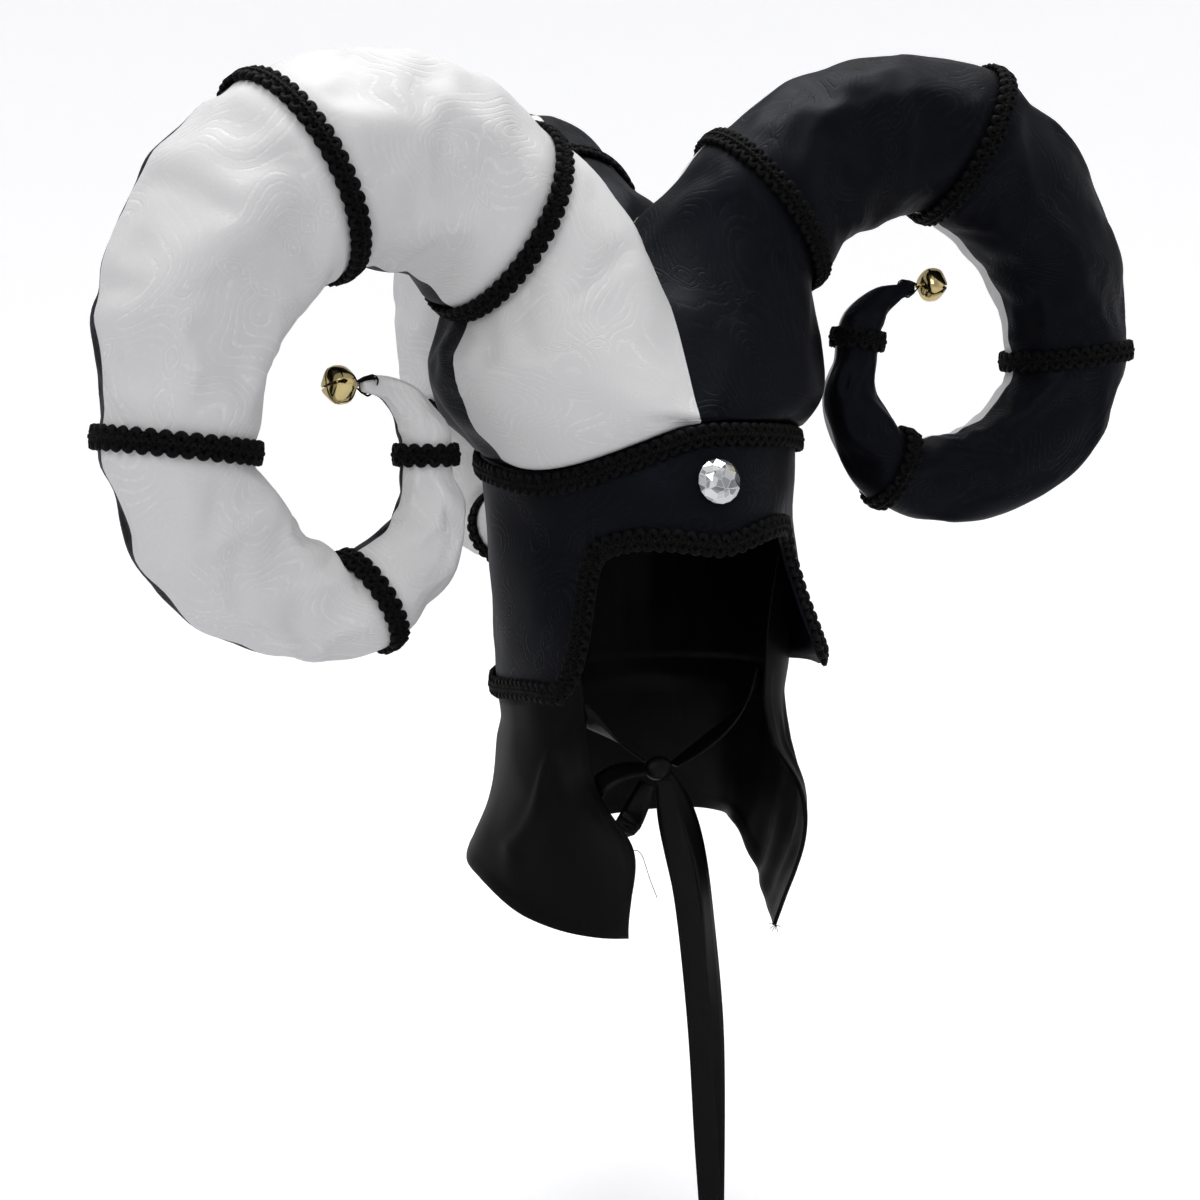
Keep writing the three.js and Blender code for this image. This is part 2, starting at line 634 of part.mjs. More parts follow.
function buildCrownBraid() {
  const low = bandColumns.map((azimuth) => onBand(azimuth, bandTop(azimuth) - braidWidth));
  const high = bandColumns.map((azimuth) => onBand(azimuth, bandTop(azimuth)));
  addPiece('crown_braid', braidLoop(low, high), 'gimp_braid');
}

// The edge braid turns with the lower edge: its upper line is the edge moved into
// the band by the braid's width, with mitred corners
function buildEdgeBraid() {
  const flat = bandColumns.map((azimuth) => {
    const z = bandBottom(azimuth);
    const radius = bandRadius(azimuth, z);
    return new THREE.Vector2(THREE.MathUtils.degToRad(azimuth) * radius, z);
  });
  const count = flat.length;
  const moved = flat.map((point, i) => {
    const before = point.clone().sub(i > 0 ? flat[i - 1] : new THREE.Vector2(2 * point.x - flat[1].x, flat[1].y));
    const after = (i < count - 1 ? flat[i + 1] : new THREE.Vector2(point.x + 1, point.y)).clone().sub(point);
    const normals = [before, after].map((edge) => new THREE.Vector2(-edge.y, edge.x).normalize());
    const bisector = normals[0].clone().add(normals[1]).normalize();
    const mitre = Math.max(bisector.dot(normals[0]), 0.75);
    return point.clone().addScaledVector(bisector, braidWidth / mitre);
  });
  const low = bandColumns.map((azimuth) => onBand(azimuth, bandBottom(azimuth)));
  const high = moved.map((point, i) => {
    const radius = bandRadius(bandColumns[i], bandBottom(bandColumns[i]));
    return onBand(THREE.MathUtils.radToDeg(point.x / radius), point.y);
  });
  addPiece('edge_braid', braidLoop(low, high, 4 * gap, 6 * gap), 'gimp_braid');
}

// Round stone with a table, eight kite facets and a flat back, on the band's front
function buildGem() {
  const sides = 16;
  const ring = (radius, height, sharp) => [...Array(sides).keys()].map((j) => {
    const angle = 2 * Math.PI * (j + 0.5) / sides;
    const reach = j % 2 ? radius : radius * sharp;
    return new THREE.Vector3(reach * Math.cos(angle), reach * Math.sin(angle), height);
  });
  const rings = [
    ring(gemRadius * 0.93, 0, 1),
    ring(gemRadius, gemHeight * 0.2, 1),
    ring(gemRadius, gemHeight * 0.32, 1),
    ring(gemRadius * 0.8, gemHeight * 0.7, 0.96),
    ring(gemRadius * 0.55, gemHeight, 0.925),
  ];
  const geometry = loft(rings).rotateX(Math.PI / 2);
  const z = -browDepth * 0.66;
  const upper = bandRadius(0, z + gemRadius);
  const lower = bandRadius(0, z - gemRadius);
  geometry.rotateX(-Math.atan2(lower - upper, 2 * gemRadius));
  geometry.translate(0, -bandRadius(0, z) - gap * 2, z);
  addPiece('gem', geometry, 'acrylic');
}

// Smooth run of a list of numbers, entered at a position counted in rows
function smoothAt(values, at) {
  const rows = values.map((value, index) => ({ index, value }));
  return tableAt(rows, 'index', 'value', at);
}

// Point of the drape: level 0 is its top inside the band, 1 the band's lower edge,
// 2 the jaw, 3 the front corner and 4 the hem
function drapePoint(fold, level, inset) {
  const column = (pick) => smoothAt(drapeFolds.map(pick), fold);
  const azimuths = [0, 1, 2, 3, 4].map((k) => column((row) => {
    const azimuth = row.azimuths[k];
    return azimuth < 0 ? azimuth : azimuth - 360;
  }));
  const reaches = [0, 1, 2, 3, 4].map((k) => column((row) => row.reaches[k]));
  const underBand = (2 * gap - bandBottom(azimuths[1])) / drapeDrop;
  const depths = [drapeTop, underBand, drapeJaw, drapeCorner, column((row) => row.hem)];
  const azimuth = smoothAt(azimuths, level);
  const z = -drapeDrop * smoothAt(depths, level);
  const room = level > 1 ? Infinity : bandRadius(azimuth, z) - bandWall - 4 * gap;
  return polar(azimuth, Math.min(headHalfWidth * smoothAt(reaches, level), room) - inset, z);
}

function buildDrape() {
  const stepsPerFold = 3;
  const levels = [0, 1, 1.5, 2, 2.5, 3, 3.5, 4];
  const columns = [...Array((drapeFolds.length - 1) * stepsPerFold + 1).keys()].map((i) => i / stepsPerFold);
  const rings = columns.map((fold) => {
    const outside = levels.map((level) => drapePoint(fold, level, 0));
    const inside = levels.map((level) => drapePoint(fold, level, drapeWall));
    return [...outside, ...inside.reverse()];
  });
  addPiece('neck_drape', sheetLoft(rings), 'black_satin');
}

// Loft of folded flat rings, whose ends are closed by a strip and not by a fan
function sheetLoft(rings) {
  const sides = rings[0].length;
  const points = rings.flat();
  const triangles = [];
  for (let i = 0; i < rings.length - 1; i += 1) {
    for (let j = 0; j < sides; j += 1) {
      const k = (j + 1) % sides;
      const a = i * sides + j;
      const b = i * sides + k;
      triangles.push(a, b, b + sides, a, b + sides, a + sides);
    }
  }
  for (let j = 0; j < sides / 2 - 1; j += 1) {
    const facing = sides - 1 - j;
    const last = (rings.length - 1) * sides;
    triangles.push(j, facing, j + 1, j + 1, facing, facing - 1);
    triangles.push(last + j, last + j + 1, last + facing, last + j + 1, last + facing - 1, last + facing);
  }
  return facingOut(points, triangles);
}

const knotPlace = new THREE.Vector3(-0.22 * headHalfWidth, -0.515 * headHalfDepth, -tieDrop);

// Flat ribbon along a curve, gathered near the knot; facing gives the way of its
// flat side at a share t
function ribbon(curve, steps, facing) {
  const rings = [...Array(steps + 1).keys()].map((i) => {
    const t = i / steps;
    const centre = curve.getPoint(t);
    const ahead = curve.getTangent(t);
    const flat = facing(t);
    flat.addScaledVector(ahead, -flat.dot(ahead)).normalize();
    const gather = 0.5 * Math.exp(-((centre.distanceTo(knotPlace) / (2 * knotRadius)) ** 2));
    const wide = ahead.cross(flat).multiplyScalar(ribbonWidth / 2 * (1 - gather));
    flat.multiplyScalar(ribbonThickness / 2);
    return [
      centre.clone().add(wide).add(flat),
      centre.clone().sub(wide).add(flat),
      centre.clone().sub(wide).sub(flat),
      centre.clone().add(wide).sub(flat),
    ];
  });
  return loft(rings);
}

function buildKnot() {
  const geometry = new THREE.SphereGeometry(knotRadius, 10, 6);
  geometry.scale(1.1, 0.7, 0.95).translate(knotPlace.x, knotPlace.y, knotPlace.z);
  addPiece('tie_knot', geometry, 'satin_ribbon');
}

// Each strap starts inside the drape's front edge and passes the jaw to the knot
function buildStrap(name, side) {
  const fold = side < 0 ? 0.6 : drapeFolds.length - 1.6;
  const inset = drapeWall + 22 * gap;
  const start = drapePoint(fold, 1.1, inset);
  const along = drapePoint(fold + 0.2, 1.1, inset).sub(start);
  const outward = new THREE.Vector3(-along.y, along.x, 0).normalize();
  const jaw = new THREE.Vector3(0.46 * side * headHalfWidth, -0.42 * headHalfDepth, -0.93 * tieDrop);
  const end = knotPlace.clone();
  end.x += (side < 0 ? 0.95 : 1.17) * side * knotRadius;
  end.z += side < 0 ? 0.6 * knotRadius : 0;
  const curve = new THREE.QuadraticBezierCurve3(start, jaw, end);
  const under = new THREE.Vector3(0.9 * side, 0.14, -1);
  const facing = (t) => outward.clone().lerp(under, Math.min(1.5 * t, 1));
  addPiece(name, ribbon(curve, 12, facing), 'satin_ribbon');
}

function buildTail(name, table) {
  const top = knotPlace.z - 0.72 * knotRadius - gap;
  const points = table.map((row) => new THREE.Vector3(
    knotPlace.x + row.sway * ribbonWidth,
    knotPlace.y - row.lead * ribbonWidth,
    top - row.drop * tailLength,
  ));
  const curve = new THREE.CatmullRomCurve3(points);
  const facing = (t) => azimuthVector(smoothAt(table.map((row) => row.face), t * (table.length - 1)));
  addPiece(name, ribbon(curve, 20, facing), 'satin_ribbon');
}

function buildBowLoop() {
  const points = bowLoop.map((row) => knotPlace.clone().add(
    new THREE.Vector3(-row.out * loopReach, -row.lead * loopReach, -row.down * loopReach),
  ));
  const curve = new THREE.CatmullRomCurve3(points);
  const facing = (t) => {
    const lean = THREE.MathUtils.degToRad(smoothAt(bowLoop.map((row) => row.lean), t * (bowLoop.length - 1)));
    return new THREE.Vector3(-Math.cos(lean), -0.45, Math.sin(lean));
  };
  addPiece('bow_loop', ribbon(curve, 22, facing), 'satin_ribbon');
}

buildBand();
buildLining();
buildHorns(buildPlug());
buildCrownBraid();
buildEdgeBraid();
buildGem();
buildDrape();
buildKnot();
buildStrap('chin_strap_right', -1);
buildStrap('chin_strap_left', 1);
buildBowLoop();
buildTail('tie_tail_front', frontTail);
buildTail('tie_tail_rear', rearTail);

export default hood;
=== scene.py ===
# %% [markdown]
# A three-horned jester hood: stuffed brocade horns, a black band with ear flaps, gimp
# braid, jingle bells, a stone, a satin drape and a ribbon tie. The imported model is
# loaded first. It is a fixed frame, and every piece below is made around it.

# %% The frame
import math
from collections import namedtuple

import bmesh
import bpy
import numpy as np
from mathutils import Matrix, Vector, noise
from mathutils.bvhtree import BVHTree


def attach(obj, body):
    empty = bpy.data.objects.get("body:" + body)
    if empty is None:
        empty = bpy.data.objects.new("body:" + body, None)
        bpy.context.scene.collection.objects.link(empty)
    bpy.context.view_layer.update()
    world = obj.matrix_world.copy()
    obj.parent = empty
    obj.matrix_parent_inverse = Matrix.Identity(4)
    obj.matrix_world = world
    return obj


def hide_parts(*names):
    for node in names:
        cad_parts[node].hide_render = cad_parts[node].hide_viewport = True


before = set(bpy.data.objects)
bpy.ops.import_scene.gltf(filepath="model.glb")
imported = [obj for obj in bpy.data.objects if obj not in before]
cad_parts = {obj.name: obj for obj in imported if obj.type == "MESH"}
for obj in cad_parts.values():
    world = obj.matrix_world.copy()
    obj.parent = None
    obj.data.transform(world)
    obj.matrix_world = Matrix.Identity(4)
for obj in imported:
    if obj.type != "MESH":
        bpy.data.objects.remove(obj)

scene = bpy.context.scene
MM = 0.001
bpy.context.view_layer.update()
print("nodes in the frame:", len(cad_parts))

# %% [markdown]
# The camera comes first, because everything is judged through it. It stands a little
# to the wearer's right of the face, looks slightly down and is rolled a few degrees.

# %% The camera
CAMERA_PLACE = Vector((-0.3095, -0.7608, 0.0030))
CAMERA_YAW, CAMERA_PITCH, CAMERA_ROLL = (math.radians(a) for a in (-20.3, 10.5, -3.3))
LENS_MM = 43.1

back = Vector((
    math.sin(CAMERA_YAW) * math.cos(CAMERA_PITCH),
    -math.cos(CAMERA_YAW) * math.cos(CAMERA_PITCH),
    math.sin(CAMERA_PITCH),
))
level = Vector((math.cos(CAMERA_YAW), math.sin(CAMERA_YAW), 0))
upright = back.cross(level)
right = level * math.cos(CAMERA_ROLL) + upright * math.sin(CAMERA_ROLL)
top = upright * math.cos(CAMERA_ROLL) - level * math.sin(CAMERA_ROLL)

lens = bpy.data.cameras.new("camera")
lens.lens = LENS_MM
lens.sensor_width = 36
lens.clip_end = 50
camera = bpy.data.objects.new("camera", lens)
camera.matrix_world = Matrix.Translation(CAMERA_PLACE) @ Matrix((right, top, back)).transposed().to_4x4()
scene.collection.objects.link(camera)
scene.camera = camera
print("camera at", tuple(round(v, 3) for v in CAMERA_PLACE))

# %% [markdown]
# Meshes are made from plain lists of points and faces. Most soft pieces here are grids:
# rows of points with a quad between each four neighbours, which subdivide well and
# keep a map that runs along the cloth.

# %% Helpers for meshes
UP = np.array((0.0, 0.0, 1.0))


def azimuth_vector(azimuth):
    angle = math.radians(azimuth)
    return np.array((math.sin(angle), -math.cos(angle), 0.0))


def azimuth_of(x, y):
    return math.degrees(math.atan2(x, -y))


def ramp(value, start, width):
    return np.clip((value - start) / width, 0, 1)


def unit(vectors):
    return vectors / np.linalg.norm(vectors, axis=-1, keepdims=True)


def run_lengths(points):
    steps = np.linalg.norm(np.diff(points, axis=0), axis=-1)
    return np.concatenate([np.zeros((1, *steps.shape[1:])), np.cumsum(steps, axis=0)])


def eased(first, last, slope, next_slope, t):
    """Between two values at share t, leaving and arriving with the given slopes."""
    rise = t * t * (3 - 2 * t)
    return first * (1 - rise) + last * rise + t * (1 - t) ** 2 * slope + t * t * (t - 1) * next_slope


def add_object(name, data):
    made = bpy.data.objects.new(name, data)
    scene.collection.objects.link(made)
    return made


def mesh_piece(name, points, faces, smooth=True):
    mesh = bpy.data.meshes.new(name)
    mesh.from_pydata([tuple(p) for p in points], [], faces)
    mesh.update()
    if smooth:
        mesh.shade_smooth()
    return add_object(name, mesh)


def grid_faces(rows, columns, wrap=False):
    faces = []
    for i in range(rows - 1):
        for j in range(columns if wrap else columns - 1):
            k = (j + 1) % columns
            a, b = i * columns + j, i * columns + k
            faces.append((a, b, b + columns, a + columns))
    return faces


def finish_piece(piece, material, slot, *nodes):
    piece.data.materials.clear()
    piece.data.materials.append(material)
    if nodes:
        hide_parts(*nodes)
    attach(piece, "root")
    return piece


def refined(piece, levels=1):
    """Subdivides a piece, and makes all its modifiers part of its mesh."""
    piece.modifiers.new("finer", "SUBSURF").levels = levels
    graph = bpy.context.evaluated_depsgraph_get()
    mesh = bpy.data.meshes.new_from_object(piece.evaluated_get(graph))
    piece.modifiers.clear()
    piece.data = mesh
    return piece


def cloth_layer(piece):
    return piece.data.uv_layers.new(name="cloth")


def map_by_vertex(piece, place_of):
    layer = cloth_layer(piece)
    for loop in piece.data.loops:
        layer.data[loop.index].uv = place_of(loop.vertex_index)


def points_of(mesh):
    return np.array([v.co for v in mesh.vertices])


def tree_of(node):
    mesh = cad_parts[node].data
    return BVHTree.FromPolygons([v.co for v in mesh.vertices], [p.vertices for p in mesh.polygons])


def joined(parts):
    """One list of points and one of faces, from several."""
    points, faces = [], []
    for more, theirs in parts:
        start = len(points)
        faces += [tuple(i + start for i in face) for face in theirs]
        points += [tuple(p) for p in more]
    return points, faces


def faced_outward(piece, weld=0.0):
    shape = bmesh.new()
    shape.from_mesh(piece.data)
    if weld:
        bmesh.ops.remove_doubles(shape, verts=shape.verts, dist=weld)
    bmesh.ops.recalc_face_normals(shape, faces=shape.faces)
    shape.to_mesh(piece.data)
    shape.free()
    return piece


# %% [markdown]
# Colours are written as sRGB hex values and turned to the linear values that the shader
# works in. One function adds a node, sets its values and links its inputs, so a
# material reads as a short list of steps.

# %% Helpers for materials
def linear(code):
    channels = [int(code[i:i + 2], 16) / 255 for i in (1, 3, 5)]
    return tuple(c / 12.92 if c <= 0.04045 else ((c + 0.055) / 1.055) ** 2.4 for c in channels) + (1.0,)


def add_node(tree, kind, settings=None, **inputs):
    node = tree.nodes.new("ShaderNode" + kind)
    for key, value in (settings or {}).items():
        setattr(node, key, value)
    for key, value in inputs.items():
        name = key.replace("_", " ")
        socket = node.inputs[int(name[1:])] if name[0] == "i" and name[1:].isdigit() else node.inputs[name]
        if isinstance(value, bpy.types.NodeSocket):
            tree.links.new(value, socket)
        else:
            socket.default_value = value
    return node


def new_material(name):
    material = bpy.data.materials.new(name)
    material.use_nodes = True
    tree = material.node_tree
    return material, tree, tree.nodes["Principled BSDF"]


def math_node(tree, operation, a, b=0.0):
    return add_node(tree, "Math", {"operation": operation}, i0=a, i1=b).outputs[0]


def times(tree, a, b):
    return math_node(tree, "MULTIPLY", a, b)


def noise_2d(tree, place, size_mm, detail=1.0, **more):
    return add_node(tree, "TexNoise", {"noise_dimensions": "2D"}, Vector=place, Scale=1 / size_mm,
                    Detail=detail, **more)


def vector_math(tree, operation, a, **inputs):
    return add_node(tree, "VectorMath", {"operation": operation}, i0=a, **inputs).outputs[0]


def map_range(tree, value, low, high, first=0.0, last=1.0, **settings):
    return add_node(tree, "MapRange", settings, Value=value, i1=low, i2=high, i3=first, i4=last).outputs[0]


def plug(tree, output, shader, socket):
    tree.links.new(output, shader.inputs[socket])


def set_shader(shader, **values):
    for key, value in values.items():
        shader.inputs[key.replace("_", " ")].default_value = value


def tint(tree, shader, share, low, high):
    mixed = add_node(tree, "Mix", {"data_type": "RGBA"}, i0=share, i6=linear(low), i7=linear(high))
    plug(tree, mixed.outputs[2], shader, "Base Color")


def vary_roughness(tree, shader, share, low, high):
    plug(tree, map_range(tree, share, 0.0, 1.0, low, high), shader, "Roughness")


def emboss(tree, shader, height, strength, distance):
    bump = add_node(tree, "Bump", Strength=strength, Distance=distance, Height=height)
    plug(tree, bump.outputs[0], shader, "Normal")


def cloth_place(tree):
    """Position on the cloth in millimetres, from the piece's own map."""
    uv = add_node(tree, "UVMap", {"uv_map": "cloth"}).outputs[0]
    return vector_math(tree, "SCALE", uv, Scale=1 / MM)


# %% [markdown]
# Brocade is a satin woven on a jacquard loom. The ground floats long shiny threads and
# the figure is woven flat, so one colour gives two lustres. The figure here is nested
# curves that flow round each other, with small pointed eyes between them. The distance
# to scattered points gives rings, and a drifting place bends them into bundles. An eye
# is the same idea with a pointed distance. Both stand up a little, as a fine bump.

# %% Brocade
BUNDLE_MM = 66.0
LINE_MM = 4.4
CURVE_DRIFT = (58.0, 70.0)
EYE_DRIFT = (90.0, 22.0)
PATCH_MM = 34.0
EYES_MM = 64.0
EYE_LENGTH_MM = 16.0
EYE_WIDTH_MM = 10.5
GRAIN_MM = 1.3
WEAVE_MM = 2.6


def soft_step(tree, value, low, high, first=0.0, last=1.0):
    return map_range(tree, value, low, high, first, last, interpolation_type="SMOOTHSTEP")


def drifted(tree, place, size_mm, reach_mm):
    drift = noise_2d(tree, place, size_mm, Roughness=0.4)
    centred = vector_math(tree, "SUBTRACT", drift.outputs["Color"], i1=(0.5, 0.5, 0.5))
    return vector_math(tree, "ADD", place, i1=vector_math(tree, "SCALE", centred, Scale=reach_mm))


def flowing_curves(tree, warped):
    motif = add_node(tree, "TexVoronoi", {"voronoi_dimensions": "2D", "feature": "SMOOTH_F1"}, Vector=warped,
                     Scale=1 / BUNDLE_MM, Randomness=0.9, Smoothness=0.18)
    turns = times(tree, motif.outputs["Distance"], 2 * math.pi * BUNDLE_MM / LINE_MM)
    return soft_step(tree, math_node(tree, "SINE", turns), 0.30, 0.98)


def pointed_eyes(tree, warped):
    """Rows of three pointed eyes with a ring inside each, and where those eyes are."""
    spot = add_node(tree, "TexVoronoi", {"voronoi_dimensions": "2D"}, Vector=warped, Scale=1 / EYES_MM,
                    Randomness=0.7)
    local = vector_math(tree, "SUBTRACT", warped, i1=spot.outputs["Position"])
    chance = add_node(tree, "SeparateXYZ", i0=spot.outputs["Color"]).outputs[0]
    turn = times(tree, chance, math.pi)
    turned = add_node(tree, "VectorRotate", {"rotation_type": "Z_AXIS"}, Vector=local, Angle=turn)
    sides = add_node(tree, "SeparateXYZ", i0=turned.outputs[0])
    in_row = math_node(tree, "LESS_THAN", math_node(tree, "ABSOLUTE", sides.outputs[0]), EYE_LENGTH_MM * 1.5)
    half = EYE_LENGTH_MM / 2
    repeated = add_node(tree, "Math", {"operation": "WRAP"}, i0=sides.outputs[0], i1=half, i2=-half).outputs[0]
    across = times(tree, math_node(tree, "ABSOLUTE", repeated), 1 / half)
    down = times(tree, math_node(tree, "ABSOLUTE", sides.outputs[1]), 2 / EYE_WIDTH_MM)
    away = math_node(tree, "ADD", math_node(tree, "POWER", across, 1.3), math_node(tree, "POWER", down, 1.5))
    inside = times(tree, soft_step(tree, away, 1.2, 1.08), in_row)
    ring = math_node(tree, "COSINE", times(tree, away, 4 * math.pi))
    return times(tree, soft_step(tree, ring, 0.1, 1.0), inside), inside


def brocade_figure(tree):
    place = cloth_place(tree)
    curves = flowing_curves(tree, drifted(tree, place, *CURVE_DRIFT))
    patch = noise_2d(tree, place, PATCH_MM)
    strength = soft_step(tree, patch.outputs[0], 0.40, 0.60, 0.15, 0.9)
    rings, inside = pointed_eyes(tree, drifted(tree, place, *EYE_DRIFT))
    plain = math_node(tree, "SUBTRACT", 1.0, inside)
    flow = times(tree, times(tree, curves, strength), plain)
    lines = math_node(tree, "MAXIMUM", flow, rings)
    worn = noise_2d(tree, place, WEAVE_MM, 2.0)
    return place, times(tree, lines, map_range(tree, worn.outputs[0], 0.35, 0.60, 0.25))


def brocade(name, ground, figure, roughness, lustre, tinge):
    material, tree, shader = new_material(name)
    place, lines = brocade_figure(tree)
    grain = noise_2d(tree, place, GRAIN_MM).outputs[0]
    mixed = math_node(tree, "ADD", times(tree, lines, 0.85), times(tree, grain, 0.25))
    tint(tree, shader, mixed, ground, figure)
    vary_roughness(tree, shader, lines, roughness, roughness - 0.08)
    emboss(tree, shader, mixed, 0.55, 0.4 * MM)
    set_shader(shader, Specular_IOR_Level=lustre, Specular_Tint=linear(tinge))
    return material


white_brocade = brocade("satin brocade, bleached", "#D8D8D8", "#E6E5E4", 0.55, 0.4, "#FFFFFF")
black_brocade = brocade("satin brocade, dyed black", "#060608", "#0E0F13", 0.50, 0.11, "#C9D2F0")
print("brocade: bundles", BUNDLE_MM, "mm, curves", LINE_MM, "mm apart")

# %% [markdown]
# Satin has one smooth shiny face. Its long floats run one way, so it shows soft streaks
# along the cloth. Gimp braid is cord wrapped in rayon: matt, with a fine twist across
# each cord. Ribbon is a narrow satin with a firm edge.

# %% Satin, ribbon, braid and thread
FINE_RELIEF = 0.2 * MM


def plain_cloth(name, colour, roughness, streak_mm, strength, lustre):
    material, tree, shader = new_material(name)
    stretch = vector_math(tree, "MULTIPLY", cloth_place(tree), i1=(1 / streak_mm, 0.05 / streak_mm, 1))
    streak = add_node(tree, "TexNoise", Vector=stretch, Scale=1.0, Detail=2.0).outputs[0]
    tint(tree, shader, streak, *colour)
    vary_roughness(tree, shader, streak, roughness - 0.05, roughness + 0.08)
    emboss(tree, shader, streak, strength, FINE_RELIEF)
    set_shader(shader, Specular_IOR_Level=lustre)
    return material


black_satin = plain_cloth("polyester satin, dyed black", ("#020203", "#060607"), 0.45, 0.9, 0.35, 0.08)
ribbon_satin = plain_cloth("satin ribbon, dyed black", ("#040405", "#08080A"), 0.42, 0.7, 0.4, 0.12)


def wrapped_cord(name, colour, wrap_mm):
    material, tree, shader = new_material(name)
    twist = add_node(tree, "TexWave", {"bands_direction": "DIAGONAL"}, Vector=cloth_place(tree),
                     Scale=0.32 / wrap_mm, Distortion=0.6).outputs[1]
    tint(tree, shader, twist, *colour)
    emboss(tree, shader, twist, 0.5, FINE_RELIEF)
    set_shader(shader, Roughness=0.62, Specular_IOR_Level=0.1)
    return material


gimp_rayon = wrapped_cord("rayon gimp, wrapped", ("#020203", "#060607"), 0.6)
thread_cotton = wrapped_cord("cotton thread, twisted", ("#060607", "#0E0E10"), 0.4)

# %% [markdown]
# A craft bell is stamped from brass sheet and plated bright. A stone like this is
# moulded acrylic with cut facets and a foil back. Its white and grey shards, with bright
# edges, are painted reflections in place of the light that its facets throw back.

# %% Brass and stone
PAINTED_SHARD = 4.5 * MM


def bright_brass():
    material, tree, shader = new_material("brass, stamped and polished")
    place = add_node(tree, "TexCoord").outputs["Object"]
    cloud = add_node(tree, "TexNoise", Vector=place, Scale=90.0, Detail=2.0).outputs[0]
    tint(tree, shader, cloud, "#C4AC6C", "#E6D6A2")
    vary_roughness(tree, shader, cloud, 0.07, 0.16)
    set_shader(shader, Metallic=1.0)
    return material


def acrylic_painted_reflections():
    material, tree, shader = new_material("acrylic, moulded and foiled")
    place = add_node(tree, "TexCoord").outputs["Object"]
    # Painted reflections: white and grey cells stand in for light broken by the facets, and bright lines along
    # the cell edges are painted glints.
    facet, edge = (add_node(tree, "TexVoronoi", {"feature": feature}, Vector=place, Scale=1 / PAINTED_SHARD,
                            Randomness=1.0) for feature in ("F1", "DISTANCE_TO_EDGE"))
    painted_reflection = add_node(tree, "SeparateXYZ", i0=facet.outputs["Color"]).outputs[0]
    line = map_range(tree, edge.outputs["Distance"], 0.0, 0.10, 1.0, 0.0)
    bright = math_node(tree, "MAXIMUM", painted_reflection, times(tree, line, 0.9))
    tint(tree, shader, bright, "#6A6E74", "#FFFFFF")
    set_shader(shader, Metallic=0.8, Roughness=0.06, Coat_Weight=1.0, Coat_Roughness=0.02)
    return material


brass = bright_brass()
stone = acrylic_painted_reflections()

# %% [markdown]
# Each horn is a tube of cloth sewn from two panels. Its centre line is a short table:
# how far out and up each section stands, its radius, how far it has turned, and how
# much wider it is across. Lengths are shares of the horn's span and of its radius.
# The rows marked with a braid are tied in tightly by a ring of gimp.

# %% The horns' sections
HORN_SPAN = 300 * MM
HORN_RADIUS = 52 * MM
BRAID_WIDTH = 12.5 * MM
BRAID_PINCH = 1.2 * MM
GAP = 0.3 * MM

Row = namedtuple("Row", "out up radius tilt cross braid", defaults=(1.0, False))
RIGHT_CURL = [
    Row(0.090, -0.113, 1.56, 176, cross=1.10),
    Row(0.153, -0.007, 1.37, 168, cross=1.06),
    Row(0.215, 0.107, 1.20, 145, cross=1.02),
    Row(0.285, 0.210, 1.02, 120, braid=True),
    Row(0.393, 0.287, 0.99, 108),
    Row(0.520, 0.307, 0.98, 88),
    Row(0.657, 0.275, 0.96, 66, braid=True),
    Row(0.770, 0.193, 0.88, 40),
    Row(0.857, 0.047, 0.775, 22),
    Row(0.888, -0.122, 0.69, 11, braid=True),
    Row(0.853, -0.260, 0.68, -20),
    Row(0.787, -0.347, 0.61, -44),
    Row(0.693, -0.400, 0.55, -72),
    Row(0.595, -0.412, 0.50, -112, cross=1.05, braid=True),
    Row(0.497, -0.347, 0.42, -142),
    Row(0.457, -0.263, 0.34, -164),
    Row(0.457, -0.177, 0.28, -176, braid=True),
    Row(0.463, -0.127, 0.24, -188),
    Row(0.490, -0.087, 0.17, -218),
    Row(0.527, -0.063, 0.11, -243),
    Row(0.565, -0.052, 0.07, -262),
]
LEFT_CURL = [
    Row(0.067, -0.113, 1.61, 176, cross=1.04),
    Row(0.127, -0.007, 1.38, 166, cross=0.98),
    Row(0.190, 0.107, 1.13, 146, cross=0.96),
    Row(0.264, 0.217, 0.96, 125, cross=1.06, braid=True),
    Row(0.373, 0.300, 0.88, 110),
    Row(0.513, 0.340, 0.87, 88),
    Row(0.665, 0.325, 0.86, 63, braid=True),
    Row(0.790, 0.220, 0.81, 40),
    Row(0.870, 0.080, 0.74, 18),
    Row(0.893, -0.087, 0.69, 3, braid=True),
    Row(0.857, -0.200, 0.64, -27),
    Row(0.783, -0.270, 0.58, -50),
    Row(0.683, -0.310, 0.52, -77),
    Row(0.590, -0.310, 0.48, -100),
    Row(0.515, -0.285, 0.44, -119, braid=True),
    Row(0.455, -0.205, 0.355, -152),
    Row(0.433, -0.133, 0.30, -171),
    Row(0.450, -0.030, 0.26, -190, braid=True),
    Row(0.467, 0.013, 0.22, -206),
    Row(0.497, 0.040, 0.15, -231),
    Row(0.533, 0.055, 0.10, -251),
    Row(0.563, 0.063, 0.07, -262),
]
Horn = namedtuple("Horn", "name curl azimuth start end white black")
HORNS = [
    Horn("right", RIGHT_CURL, -74.6, -128, -2, "front", "back"),
    Horn("left", LEFT_CURL, 81.5, -2, 125, "back", "front"),
    Horn("back", RIGHT_CURL, 188, 125, 232, "right", "left"),
]

# %% [markdown]
# The foot of each horn follows the top of the band. That line is read from the packed
# band: its vertices are sorted by azimuth, and the highest outer one of each column is
# kept. The lowest ones give the edge that the lower braid follows.

